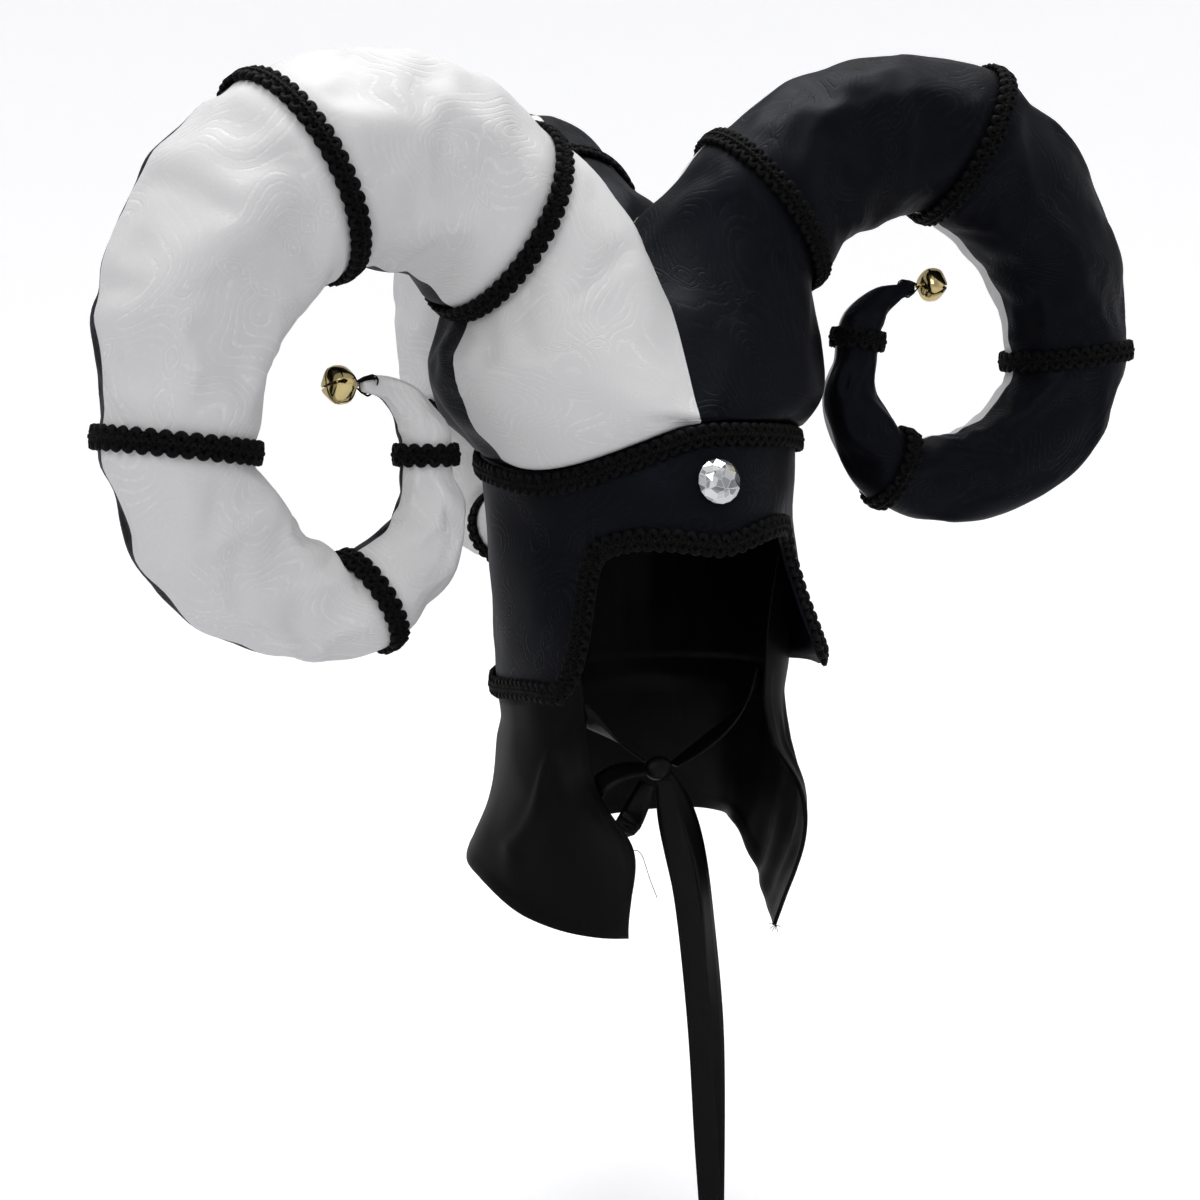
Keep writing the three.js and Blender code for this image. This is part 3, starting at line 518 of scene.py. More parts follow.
# %% Lines of the band
def band_columns():
    points = points_of(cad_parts["hood_band"].data)
    azimuths = np.degrees(np.arctan2(points[:, 0], -points[:, 1]))
    radii = np.hypot(points[:, 0], points[:, 1])
    order = np.argsort(azimuths)
    rows = []
    for column in np.split(order, np.flatnonzero(np.diff(azimuths[order]) > 0.3) + 1):
        heights = points[column, 2]
        outer = lambda z: max(radii[i] for i in column if abs(points[i, 2] - z) < 0.0004)
        rows.append((float(np.mean(azimuths[column])), outer(heights.max()), heights.max(),
                     outer(heights.min()), heights.min()))
    return np.array(rows)


BAND = band_columns()


def band_line(azimuth, column):
    return np.interp(azimuth, BAND[:, 0], BAND[:, column], period=360)


print("band columns:", len(BAND), "top", round(BAND[:, 2].max() * 1000), "mm")

# %% [markdown]
# A horn's skin is a grid that runs smoothly through its sections. Between two braids it
# is left a little slack, so stuffing can push it out. Its map is the length along the
# horn and the way round it, in metres, so the brocade lies on it as woven.

# %% The skin of a horn
AROUND = 56
STEP = 5.5 * MM
MAP_SHIFT = 0.14 * 0.5 ** 0.5


def horn_axes(horn):
    out = azimuth_vector(horn.azimuth)
    return out, np.cross(UP, out)


def section_axes(horn, row):
    out, across = horn_axes(horn)
    tilt = math.radians(row.tilt)
    along = out * math.sin(tilt) - UP * math.cos(tilt)
    outer = out * math.cos(tilt) + UP * math.sin(tilt)
    centre = out * row.out * HORN_SPAN + UP * row.up * HORN_SPAN
    return centre, along, outer, across


def section(horn, row, shift=0.0, grow=0.0, count=AROUND):
    centre, along, outer, across = section_axes(horn, row)
    angle = np.linspace(0, 2 * math.pi, count, endpoint=False)[:, None]
    reach = row.radius * HORN_RADIUS + grow
    width = row.radius * row.cross * HORN_RADIUS + grow
    return centre + along * shift + outer * reach * np.cos(angle) + across * width * np.sin(angle)


def foot_section(horn):
    out, across = horn_axes(horn)
    points = []
    for angle in np.linspace(0, 2 * math.pi, AROUND, endpoint=False):
        way = -out * math.cos(angle) + across * math.sin(angle)
        azimuth = azimuth_of(*way[:2])
        points.append(azimuth_vector(azimuth) * band_line(azimuth, 1) + UP * band_line(azimuth, 2))
    return np.array(points)


def horn_sections(horn):
    sections, tied = [foot_section(horn)], [False]
    for row in horn.curl:
        for side in (-1, 1) if row.braid else (0,):
            sections.append(section(horn, row, side * BRAID_WIDTH / 2, -abs(side) * BRAID_PINCH))
            tied.append(row.braid)
    return np.array(sections), tied


def smooth_run(sections, tied):
    """Smooth rows of points through the sections, and which rows a braid holds."""
    stations = run_lengths(sections.mean(axis=1))
    last = len(sections) - 1
    sides = [(max(i - 1, 0), min(i + 1, last)) for i in range(last + 1)]
    slopes = [(sections[high] - sections[low]) / (stations[high] - stations[low]) for low, high in sides]
    rows, held = [], []
    for i in range(last):
        span = stations[i + 1] - stations[i]
        steps = max(round(span / STEP), 2)
        for k in range(steps + (i == last - 1)):
            rows.append(eased(sections[i], sections[i + 1], span * slopes[i], span * slopes[i + 1], k / steps))
            held.append(tied[i] and (tied[i + 1] or k == 0))
    return np.array(rows), held


def rounded_tip(rows, held):
    centre = rows[-1].mean(axis=0)
    ahead = unit(centre - rows[-2].mean(axis=0))
    radius = np.linalg.norm(rows[-1][0] - centre)
    extra = [centre + (rows[-1] - centre) * math.cos(a) + ahead * radius * 0.5 * math.sin(a)
             for a in (0.6, 1.1, 1.45)]
    return np.concatenate([rows, extra]), held + [True] * len(extra)


def cloth_map(piece, rows):
    """Maps a wrapped grid: x along the rows, y round them, in metres."""
    lengths = run_lengths(rows.mean(axis=1))
    girth = np.linalg.norm(np.roll(rows, -1, axis=1) - rows, axis=2).sum(axis=1)
    count = rows.shape[1]
    layer = cloth_layer(piece)
    for polygon in piece.data.polygons:
        corners = [(loop, piece.data.loops[loop].vertex_index) for loop in polygon.loop_indices]
        sides = [v % count for _, v in corners]
        for loop, vertex in corners:
            i, j = divmod(vertex, count)
            if i >= len(rows):
                continue
            j = j + count if max(sides) - j > count / 2 else j
            layer.data[loop].uv = (lengths[i], (j / count - 0.5 + MAP_SHIFT) * girth[i])


# %% [markdown]
# Stuffing is a cloth simulation: pressure from inside on a skin that is cut slightly
# larger than its form, while seams, braids and the foot hold it still. The slack cloth
# buckles into soft puckers next to whatever holds it. The result is kept as a mesh, and
# no point may move further than a few millimetres.

# %% Stuffing
WHITE, BLACK, CAP = 0, 1, 2
FRAMES = 14
FURTHEST = 5.5 * MM
SLACK = {"right": 0.042, "left": 0.024, "back": 0.032}
TACK_ROWS = 6
CLOTH = dict(
    quality=4, mass=0.2, tension_stiffness=25, compression_stiffness=25, shear_stiffness=8,
    bending_stiffness=0.15, vertex_group_mass="held", use_pressure=True, uniform_pressure_force=2.5,
)


def stuff(piece, held, slack):
    before = points_of(piece.data)
    group = piece.vertex_groups.new(name="held")
    group.add([int(i) for i in held], 1.0, "REPLACE")
    cloth = piece.modifiers.new("stuffing", "CLOTH")
    settings = cloth.settings
    for key, value in dict(CLOTH, shrink_min=-slack).items():
        setattr(settings, key, value)
    settings.effector_weights.gravity = 0
    cloth.collision_settings.use_collision = False
    cloth.collision_settings.use_self_collision = False
    for number in range(1, FRAMES + 1):
        scene.frame_set(number)
    graph = bpy.context.evaluated_depsgraph_get()
    moved = points_of(piece.evaluated_get(graph).data)
    piece.modifiers.clear()
    piece.vertex_groups.clear()
    scene.frame_set(1)
    shift = moved - before
    length = np.linalg.norm(shift, axis=1)
    limit = FURTHEST * np.tanh(length / FURTHEST)
    shift *= np.where(length > 1e-9, limit / np.maximum(length, 1e-9), 0)[:, None]
    piece.data.vertices.foreach_set("co", (before + shift).ravel())
    piece.data.update()
    print(piece.name, "stuffed, moved up to", round(length.max() * 1000, 1), "mm")


# %% [markdown]
# Two horns rise side by side from one foot, and a seam joins them in an upright plane
# through the head's middle. Their skins aren't equally far out there, so both are drawn
# to one line, half way between them. A skin's line in the plane is its distance from a
# point low inside the head, by angle.

# %% Meeting at the seams
SEAM_REACH = 32 * MM
SEAM_MIDDLE = 24 * MM
SEAM_VIEW = -70 * MM


def seam_view(points, azimuth):
    """Distance from the plane, and the angle and distance seen in it."""
    out, rise = points @ azimuth_vector(azimuth), points[:, 2] - SEAM_VIEW
    return points @ azimuth_vector(azimuth + 90), np.arctan2(rise, out), np.hypot(out, rise)


def seam_line(skin, azimuth):
    points = points_of(skin.data)
    edges = {key for face in skin.data.polygons if face.material_index != CAP for key in face.edge_keys}
    a, b = np.array(sorted(edges)).T
    away = points @ azimuth_vector(azimuth + 90)
    a, b = a[away[a] * away[b] < 0], b[away[a] * away[b] < 0]
    share = (away[a] / (away[a] - away[b]))[:, None]
    angle, reach = seam_view(points[a] + (points[b] - points[a]) * share, azimuth)[1:]
    order = np.argsort(angle)
    order = order[(angle[order] > 0) & (angle[order] < math.pi / 2)]
    return angle[order], reach[order]


def meet(first, second, azimuth):
    out = azimuth_vector(azimuth)
    lines = [seam_line(skin, azimuth) for skin in (first, second)]
    for skin, own, other in ((first, *lines), (second, *lines[::-1])):
        points = points_of(skin.data)
        away, angle, _ = seam_view(points, azimuth)
        gap = (np.interp(angle, *other) - np.interp(angle, *own)) / 2
        near = np.clip(1 - np.abs(away) / SEAM_REACH, 0, 1) * np.clip(points @ out / SEAM_MIDDLE, 0, 1)
        gap *= near * near * (3 - 2 * near)
        points += gap[:, None] * (np.outer(np.cos(angle), out) + np.outer(np.sin(angle), UP))
        skin.data.vertices.foreach_set("co", points.ravel())
        skin.data.update()
        print(skin.name, "drawn to the seam at", azimuth, "by up to", round(np.abs(gap).max() * 1000, 1), "mm")


# %% [markdown]
# Each skin is then cut apart: along its seams into two panels, and along the planes
# where horns meet. At those planes the cloth is turned in and carried to the lining, so
# no gap shows.

# %% Cutting the panels
TURNED_IN = 0.8


def dome_heights():
    tree = tree_of("crown_lining")

    def height(x, y):
        hit = tree.ray_cast(Vector((x, y, 0.3)), Vector((0, 0, -1)))
        return hit[0].z + 1 * MM if hit[0] is not None else band_line(azimuth_of(x, y), 2)

    return height


lining_height = dome_heights()


def cut_at(mesh_data, azimuth, keep_after):
    side = azimuth_vector(azimuth + 90)
    normal = Vector(side) * (-1 if keep_after else 1)
    place = Vector(side) * (GAP / 2 if keep_after else -GAP / 2)
    geometry = mesh_data.verts[:] + mesh_data.edges[:] + mesh_data.faces[:]
    bmesh.ops.bisect_plane(mesh_data, geom=geometry, plane_co=place, plane_no=normal, clear_outer=True)
    rim = [e for e in mesh_data.edges if e.is_boundary
           and all(abs((v.co - place).dot(normal)) < 1e-5 for v in e.verts)]
    made = bmesh.ops.extrude_edge_only(mesh_data, edges=rim)["geom"]
    for edge in rim:
        edge.smooth = False
    for vertex in (v for v in made if isinstance(v, bmesh.types.BMVert)):
        vertex.co.xy *= TURNED_IN
        vertex.co.z = lining_height(vertex.co.x, vertex.co.y)


def panel(skin, name, index, horn):
    mesh_data = bmesh.new()
    mesh_data.from_mesh(skin.data)
    others = [f for f in mesh_data.faces if f.material_index != index]
    bmesh.ops.delete(mesh_data, geom=others, context="FACES")
    cut_at(mesh_data, horn.start, True)
    cut_at(mesh_data, horn.end, False)
    mesh = bpy.data.meshes.new(name)
    mesh_data.to_mesh(mesh)
    mesh_data.free()
    for polygon in mesh.polygons:
        polygon.material_index = 0
    mesh.shade_smooth()
    return add_object(name, mesh)


# %% Building the horns
def horn_skin(horn):
    rows, held_rows = rounded_tip(*smooth_run(*horn_sections(horn)))
    count = len(rows)
    points = rows.reshape(-1, 3)
    faces = grid_faces(count, AROUND, wrap=True)
    ends = [rows[0].mean(axis=0), rows[-1].mean(axis=0)]
    first_cap = len(faces)
    around = [(j, (j + 1) % AROUND) for j in range(AROUND)]
    faces += [(len(points), k, j) for j, k in around]
    faces += [(len(points) + 1, *(len(points) - AROUND + j for j in pair)) for pair in around]
    skin = mesh_piece(f"{horn.name}_skin", np.concatenate([points, ends]), faces)
    cloth_map(skin, rows)
    for index in range(3):
        skin.data.materials.append(None)
    for index, polygon in enumerate(skin.data.polygons):
        j = index % AROUND
        polygon.material_index = WHITE if j < AROUND // 2 else BLACK
        if first_cap <= index < first_cap + AROUND:
            polygon.material_index = CAP
    held = [i * AROUND + j for i in range(count) for j in range(AROUND)
            if i < 1 or held_rows[i] or (j in (0, AROUND // 2) and i % TACK_ROWS == 0)]
    held += [len(points), len(points) + 1]
    stuff(skin, held, SLACK[horn.name])
    return refined(skin)


def horn_panels(horn, skin):
    for side, index, cloth, slot in ((horn.white, WHITE, white_brocade, "white_brocade"),
                                     (horn.black, BLACK, black_brocade, "black_brocade")):
        node = f"{horn.name}_horn_{side}"
        piece = panel(skin, f"{node}_panel", index, horn)
        finish_piece(piece, cloth, slot, node)
        print(piece.name, len(piece.data.polygons), "faces")
    bpy.data.objects.remove(skin)


skins = [horn_skin(horn) for horn in HORNS]
for number, horn in enumerate(HORNS):
    meet(skins[number], skins[(number + 1) % 3], horn.end)
for horn, skin in zip(HORNS, skins):
    horn_panels(horn, skin)

# %% [markdown]
# Gimp is made on a machine that lays wrapped cords in loops along both edges of a
# plaited middle. Each edge cord is a looping curve, a trochoid: a point that goes round
# a circle while the circle moves on. Three thin cords weave along the middle, over a
# flat core. Each curve is swept into a tube and laid on a path with its outward and
# sideways directions.

# %% Gimp braid
PITCH = 6.2 * MM
BEAD_RADIUS = 3.25 * MM
CORD_RADIUS = 1.75 * MM
PLAIT_RADIUS = 0.75 * MM
CORE_WIDTH = 8.6 * MM
CORE_HEIGHT = 1.2 * MM
CORD_SIDES = 6
BEAD_TURN = 152
BEAD_STEPS = 12
PLAIT_STEPS = 10
PLAIT_SWAY = 1.2 * MM


def tube(path, radius, sides, closed):
    """Points and faces of a tube along a path of points."""
    ahead = np.roll(path, -1, axis=0) - np.roll(path, 1, axis=0)
    if not closed:
        ahead[0], ahead[-1] = path[1] - path[0], path[-1] - path[-2]
    ahead = unit(ahead)
    guide = np.cross(ahead[0], UP)
    guide = guide if np.linalg.norm(guide) > 0.1 else np.cross(ahead[0], (1.0, 0, 0))
    frames = []
    for direction in ahead:
        guide = unit(guide - direction * np.dot(guide, direction))
        frames.append((guide, np.cross(direction, guide)))
    angle = np.linspace(0, 2 * math.pi, sides, endpoint=False)
    rings = [p + radius * (np.outer(np.cos(angle), u) + np.outer(np.sin(angle), v))
             for p, (u, v) in zip(path, frames)]
    points = np.concatenate(rings)
    faces = grid_faces(len(path), sides, wrap=True)
    if closed:
        end = (len(path) - 1) * sides
        turned = [np.linalg.norm(rings[-1] - np.roll(rings[0], -k, axis=0)) for k in range(sides)]
        twist = int(np.argmin(turned))
        for j in range(sides):
            k = (j + 1) % sides
            faces.append((end + j, end + k, (k + twist) % sides, (j + twist) % sides))
    else:
        faces.append(tuple(range(sides))[::-1])
        faces.append(tuple(range(len(points) - sides, len(points))))
    return points, faces


def along_path(path):
    """Turns a length along a closed path into its place and the path's own directions."""
    columns = [np.array([row[k] for row in path] + [path[0][k]]) for k in range(3)]
    lengths = run_lengths(columns[0])

    def at(s):
        s = s % lengths[-1]
        return tuple(np.stack([np.interp(s, lengths, values[:, k]) for k in range(3)], axis=-1)
                     for values in columns)

    return lengths[-1], at


def gimp(name, path, *nodes):
    """path: rows of (place, outward, sideways) on the cloth that carries the braid."""
    total, at = along_path(path)
    loops = round(total / PITCH)
    pitch = total / loops
    swing = BEAD_RADIUS - CORD_RADIUS
    bead = np.radians(np.linspace(-BEAD_TURN, BEAD_TURN, BEAD_STEPS))
    number = np.repeat(np.arange(loops), BEAD_STEPS)
    angle = np.tile(bead, loops)
    cords = []
    for side in (-1, 1):
        forward = (number + (0.5 if side > 0 else 0)) * pitch + swing * np.sin(angle)
        aside = side * (BRAID_WIDTH / 2 - BEAD_RADIUS + swing * np.cos(angle))
        lift = CORD_RADIUS * (1.15 + 0.3 * np.sin(angle / 2))
        cords.append((forward, aside, lift, CORD_RADIUS))
    turn = np.arange(loops * PLAIT_STEPS) / PLAIT_STEPS
    waves = round(loops * 0.8) / loops
    for phase in (0, 2 * math.pi / 3, 4 * math.pi / 3):
        weave = 2 * math.pi * turn * waves + phase
        lift = 1.85 * CORD_RADIUS + PLAIT_RADIUS * 0.8 * np.cos(2 * weave)
        cords.append((turn * pitch, PLAIT_SWAY * np.sin(weave), lift, PLAIT_RADIUS))
    parts, spans = [], []
    for forward, aside, lift, radius in cords:
        place, outward, sideways = at(forward)
        centre = place + unit(sideways) * aside[:, None] + unit(outward) * lift[:, None]
        parts.append(tube(centre, radius, CORD_SIDES, True))
        spans.append(forward)
    core = turn * pitch
    place, outward, sideways = at(core)
    corners = [(-1, 0.1), (-1, 1), (0, 1.3), (1, 1), (1, 0.1), (0, 0)]
    rings = np.stack([place + unit(sideways) * (x * CORE_WIDTH / 2) + unit(outward) * (y * CORE_HEIGHT)
                      for x, y in corners], axis=1)
    count = len(core) * CORD_SIDES
    strip = [tuple(i % count for i in face) for face in grid_faces(len(core) + 1, CORD_SIDES, wrap=True)]
    parts.append((rings.reshape(-1, 3), strip))
    spans.append(core)
    piece = mesh_piece(name, *joined(parts))
    run = np.concatenate([np.repeat(f, CORD_SIDES) for f in spans])
    map_by_vertex(piece, lambda v: (run[v], v % CORD_SIDES * 1.5 * MM))
    finish_piece(piece, gimp_rayon, "gimp_braid", *nodes)


def horn_braids(horn):
    rows = [row for row in horn.curl if row.braid]
    for number, row in enumerate(rows, start=1):
        centre, along = section_axes(horn, row)[:2]
        points = section(horn, row, 0.0, -BRAID_PINCH + GAP, 72)
        outward = points - centre
        path = [(p, o, along) for p, o in zip(points, unit(outward))]
        gimp(f"{horn.name}_gimp_{number}", path, f"{horn.name}_horn_braid_{number}")


for horn in HORNS:
    horn_braids(horn)

# %% [markdown]
# Two long braids lie on the band: one over the seam where the horns begin, and one all
# round the lower edge and the flaps. Their paths are worked out on the band laid flat,
# as width round and height, and then carried back onto it.

# %% The band's braids
def band_surface():
    tree = tree_of("hood_band")

    def radius(azimuth, z):
        way = Vector(azimuth_vector(azimuth))
        hit = tree.ray_cast(Vector((0, 0, z)) + way * 0.3, -way)
        return math.hypot(hit[0].x, hit[0].y) if hit[0] is not None else None

    return radius


band_radius = band_surface()


def on_band(azimuth, z):
    inner = np.clip(z, band_line(azimuth, 4) + 0.3 * MM, band_line(azimuth, 2) - 0.3 * MM)
    return azimuth_vector(azimuth) * band_radius(azimuth, inner) + UP * z


def crown_path():
    path = []
    for azimuth in np.linspace(-180, 180, 180, endpoint=False):
        out = azimuth_vector(azimuth)
        path.append((on_band(azimuth, band_line(azimuth, 2) - BRAID_WIDTH / 2) + out * GAP, out, UP))
    return path


def edge_path():
    azimuths = BAND[:, 0]
    flat = np.stack([np.radians(azimuths) * BAND[:, 3], BAND[:, 4]], axis=1)
    ahead = unit(np.gradient(flat, axis=0))
    inward = np.stack([-ahead[:, 1], ahead[:, 0]], axis=1)
    moved = flat + inward * BRAID_WIDTH * 0.46
    lengths = run_lengths(moved)
    spots = np.arange(0, lengths[-1], 4 * MM)
    run = [np.interp(spots, lengths, values) for values in (moved[:, 0], moved[:, 1], BAND[:, 3])]
    spots = [(math.degrees(x / radius), z) for x, z, radius in zip(*run)]
    path = np.array([on_band(azimuth, z) + azimuth_vector(azimuth) * GAP for azimuth, z in spots])
    step = unit(np.roll(path, -1, axis=0) - np.roll(path, 1, axis=0))
    out = unit(path * (1, 1, 0))
    return list(zip(path, out, unit(np.cross(out, step))))


gimp("crown_gimp", crown_path(), "crown_braid")
gimp("edge_gimp", edge_path(), "edge_braid")
print("braids laid")

# %% [markdown]
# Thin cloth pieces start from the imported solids: their triangles are paired back into
# quads, sharp rims are marked as creases, and the surface is subdivided. That turns a
# few flat panels into a smooth hanging cloth of the same size.

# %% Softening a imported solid
SHARP = math.radians(50)


def soften(node, name, levels=2):
    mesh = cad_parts[node].data.copy()
    piece = add_object(name, mesh)
    shape = bmesh.new()
    shape.from_mesh(mesh)
    bmesh.ops.remove_doubles(shape, verts=shape.verts, dist=0.00002)
    bmesh.ops.join_triangles(shape, faces=shape.faces, angle_face_threshold=math.radians(35),
                             angle_shape_threshold=math.radians(60))
    crease = shape.edges.layers.float.new("crease_edge")
    for edge in shape.edges:
        if len(edge.link_faces) == 2 and edge.calc_face_angle(0) > SHARP:
            edge[crease] = 1.0
    shape.to_mesh(mesh)
    shape.free()
    refined(piece, levels)
    for layer in list(piece.data.uv_layers):
        piece.data.uv_layers.remove(layer)
    piece.data.shade_smooth()
    return piece


def wrap_map(piece):
    """Maps a piece that goes round the head: x round it and y up it, in metres."""
    layer = cloth_layer(piece)
    points = points_of(piece.data)
    azimuths = np.degrees(np.arctan2(points[:, 0], -points[:, 1]))
    for polygon in piece.data.polygons:
        middle = azimuth_of(*polygon.center.xy)
        for loop in polygon.loop_indices:
            v = piece.data.loops[loop].vertex_index
            azimuth = middle + (azimuths[v] - middle + 180) % 360 - 180
            layer.data[loop].uv = (math.radians(azimuth) * 0.1, points[v, 2])


BRAID_CLEAR = 13 * MM
DENT_FADE = 14 * MM


def crumple_band(piece, size, depth):
    """Soft dents in the middle of the band, none where its braids are sewn on."""
    for vertex in piece.data.vertices:
        azimuth = azimuth_of(*vertex.co.xy)
        near = min(band_line(azimuth, 2) - vertex.co.z, vertex.co.z - band_line(azimuth, 4))
        outward = Vector((*vertex.co.xy, 0)).normalized()
        vertex.co += outward * depth * ramp(near, BRAID_CLEAR, DENT_FADE) * noise.noise(vertex.co / size)


band = soften("hood_band", "band_cloth")
crumple_band(band, 35 * MM, 2.2 * MM)
wrap_map(band)
finish_piece(band, black_brocade, "black_brocade", "hood_band")

lining = soften("crown_lining", "lining_cloth", levels=1)
wrap_map(lining)
finish_piece(lining, black_satin, "black_satin", "crown_lining")

print("band and lining softened")

# %% [markdown]
# The drape is one shaped piece of satin sewn under the band. A table gives its fold
# lines, from the wearer's right front edge round the nape to the left one: where each
# stands at the band, the jaw, the corner and the hem. A fine grid through those lines
# gives room for soft folds, and for a hem that is turned in and so twice as thick.

# %% The drape's surface
DRAPE_WALL = 1.2 * MM
DRAPE_DROP = 327 * MM
HEAD_HALF_WIDTH = 86.8 * MM
BAND_WALL = 2 * MM
HEM_WIDTH = 9 * MM
HEM_RISE = 0.5 * MM
DRAPE_SINK = 1.2 * MM
DRAPE_DEPTHS = (0.375, None, 0.705, 0.81)

Fold = namedtuple("Fold", "azimuths reaches hem")
FOLDS = [
    Fold((-52, -54, -48, -30, -36), (0.92, 0.80, 0.88, 1.20, 0.89), 1.000),
    Fold((-64, -66, -62, -45, -46), (1.05, 1.00, 1.00, 1.10, 1.08), 0.980),
    Fold((-80, -82, -80, -68, -66), (1.05, 1.02, 1.04, 1.12, 1.24), 0.950),
    Fold((-102, -102, -102, -96, -92), (1.05, 1.02, 1.04, 1.12, 1.29), 0.912),
    Fold((-140, -140, -140, -138, -136), (1.15, 1.10, 1.11, 1.17, 1.29), 0.930),
    Fold((-180, -180, -180, -180, -180), (1.25, 1.19, 1.20, 1.23, 1.30), 0.966),
    Fold((-220, -220, -220, -220, -220), (1.15, 1.10, 1.10, 1.12, 1.18), 0.955),
    Fold((-252, -252, -252, -252, -250), (1.05, 1.02, 0.96, 0.90, 0.75), 0.930),
    Fold((-280, -280, -282, -284, -282), (1.05, 0.97, 0.91, 0.85, 0.68), 0.980),
    Fold((-298, -298, -300, -310, -306), (1.00, 0.90, 0.90, 1.00, 0.76), 1.020),
    Fold((-309, -310, -314, -330, -322), (0.92, 0.80, 0.86, 1.22, 0.89), 1.036),
]
FOLD_TABLES = [np.array(column, dtype=float) for column in zip(*FOLDS)]


def smooth_at(values, at):
    """A smooth run through evenly numbered values, entered at a position in rows."""
    last = len(values) - 1
    index = min(int(at), last - 1)
    t = at - index
    slopes = [(values[min(i + 1, last)] - values[max(i - 1, 0)]) / (min(i + 1, last) - max(i - 1, 0))
              for i in (index, index + 1)]
    return eased(values[index], values[index + 1], *slopes, t)


def drape_point(fold, level):
    azimuths, reaches, hem = (smooth_at(table, fold) for table in FOLD_TABLES)
    depths = [d if d else (2 * GAP - band_line(azimuths[1], 4)) / DRAPE_DROP for d in DRAPE_DEPTHS]
    depths.append(hem)
    azimuth = smooth_at(azimuths, level)
    z = -DRAPE_DROP * smooth_at(depths, level)
    reach = HEAD_HALF_WIDTH * smooth_at(reaches, level)
    if level <= 1:
        inside = max(z, band_line(azimuth, 4) + GAP)
        reach = min(reach, band_radius(azimuth, inside) - BAND_WALL - 4 * GAP)
    return azimuth_vector(azimuth) * reach + UP * z


FOLD_STEPS = 16
LEVEL_STEPS = 22
drape_folds = np.arange((len(FOLDS) - 1) * FOLD_STEPS + 1) / FOLD_STEPS
drape_levels = np.arange(4 * LEVEL_STEPS + 1) / LEVEL_STEPS
drape_grid = np.array([[drape_point(fold, level) for fold in drape_folds] for level in drape_levels])
print("drape grid", drape_grid.shape[:2], "lowest", round(drape_grid[:, :, 2].min() * 1000), "mm")

# %% [markdown]
# Hung satin falls in a few soft folds that open towards the hem. Each fold here is a
# low ridge along a line on the grid. A free edge is never quite straight, so the hem
# gets a small waver from smooth noise.

# %% Folds and thickness of the drape
Ridge = namedtuple("Ridge", "top_fold top_level end_fold end_level width height")
RIDGES = [
    Ridge(0.60, 1.3, 2.40, 3.3, 0.13, 2.2),
    Ridge(2.3, 2.6, 3.4, 4.0, 0.45, 2.2),
    Ridge(3.6, 1.2, 3.9, 4.0, 0.5, 2.4),
    Ridge(4.6, 1.4, 4.5, 4.0, 0.35, 2.8),
    Ridge(5.5, 1.2, 5.6, 4.0, 0.4, 3.2),
    Ridge(6.4, 1.6, 6.3, 4.0, 0.32, 2.6),
    Ridge(7.2, 1.2, 7.3, 4.0, 0.30, 3.4),
    Ridge(7.9, 1.5, 8.1, 4.0, 0.22, 3.4),
    Ridge(8.6, 1.3, 8.9, 3.6, 0.18, 3.2),
    Ridge(9.1, 1.6, 9.5, 3.4, 0.16, 2.4),
]


def grid_normals(grid):
    normals = unit(np.cross(np.gradient(grid, axis=1), np.gradient(grid, axis=0)))
    outward = (normals * grid * (1, 1, 0)).sum(axis=2).sum()
    return normals if outward > 0 else -normals


def ridge_heights():
    folds, levels = np.meshgrid(drape_folds, drape_levels)
    total = np.zeros_like(folds)
    for ridge in RIDGES:
        along = ramp(levels, ridge.top_level, ridge.end_level - ridge.top_level)
        centre = ridge.top_fold + (ridge.end_fold - ridge.top_fold) * along
        spread = ridge.width * (0.6 + 0.8 * along)
        fade = ramp(levels, ridge.top_level, 0.8) * ramp(-levels, -ridge.end_level - 0.45, 0.45)
        total += ridge.height * MM * fade * np.exp(-((folds - centre) / spread) ** 2)
    return total


def edge_distances(grid):
    """Distance of each grid point from the two front edges and from the hem."""
    left, fall = run_lengths(grid.swapaxes(0, 1)).T, run_lengths(grid)
    return np.minimum(left, left[:, -1:] - left), fall[-1] - fall


def waver(points, size, depth, seed):
    """Smooth noise at each point, the same on every run."""
    flat = points.reshape(-1, 3)
    values = [noise.noise(Vector(p) / size + Vector((seed, 0, 0))) for p in flat]
    return depth * np.array(values).reshape(points.shape[:-1])


lift = (ridge_heights() - DRAPE_SINK) * ramp(drape_levels, 1.0, 0.4)[:, None]
outer_grid = drape_grid + grid_normals(drape_grid) * lift[:, :, None]
normals = grid_normals(outer_grid)
outer_grid += normals * waver(outer_grid, 30 * MM, 1.1 * MM, 3)[:, :, None]
front_distance, hem_distance = edge_distances(outer_grid)
free = ramp(drape_levels, 1.0, 0.2)[:, None]
edge_distance = np.minimum(front_distance, hem_distance)
hem_rise = HEM_RISE * free * ramp(-edge_distance, -HEM_WIDTH, 1.2 * MM)
stitch_dip = 0.5 * MM * free * np.exp(-((edge_distance - HEM_WIDTH + 1.6 * MM) / (0.8 * MM)) ** 2)
outside = outer_grid + normals * (hem_rise - stitch_dip)[:, :, None]
inside = outer_grid - normals * (DRAPE_WALL + hem_rise)[:, :, None]


def closed_sheet(name, front, rear):
    rows, columns = front.shape[:2]
    points = np.concatenate([front.reshape(-1, 3), rear.reshape(-1, 3)])
    faces = grid_faces(rows, columns)
    shift = rows * columns
    faces += [tuple(i + shift for i in face[::-1]) for face in faces]
    rim = [(0, j) for j in range(columns)] + [(i, columns - 1) for i in range(1, rows)]
    rim += [(rows - 1, j) for j in range(columns - 2, -1, -1)] + [(i, 0) for i in range(rows - 2, 0, -1)]
    ring = [i * columns + j for i, j in rim]
    for a, b in zip(ring, ring[1:] + ring[:1]):
        faces.append((b, a, a + shift, b + shift))
    return faced_outward(mesh_piece(name, points, faces))


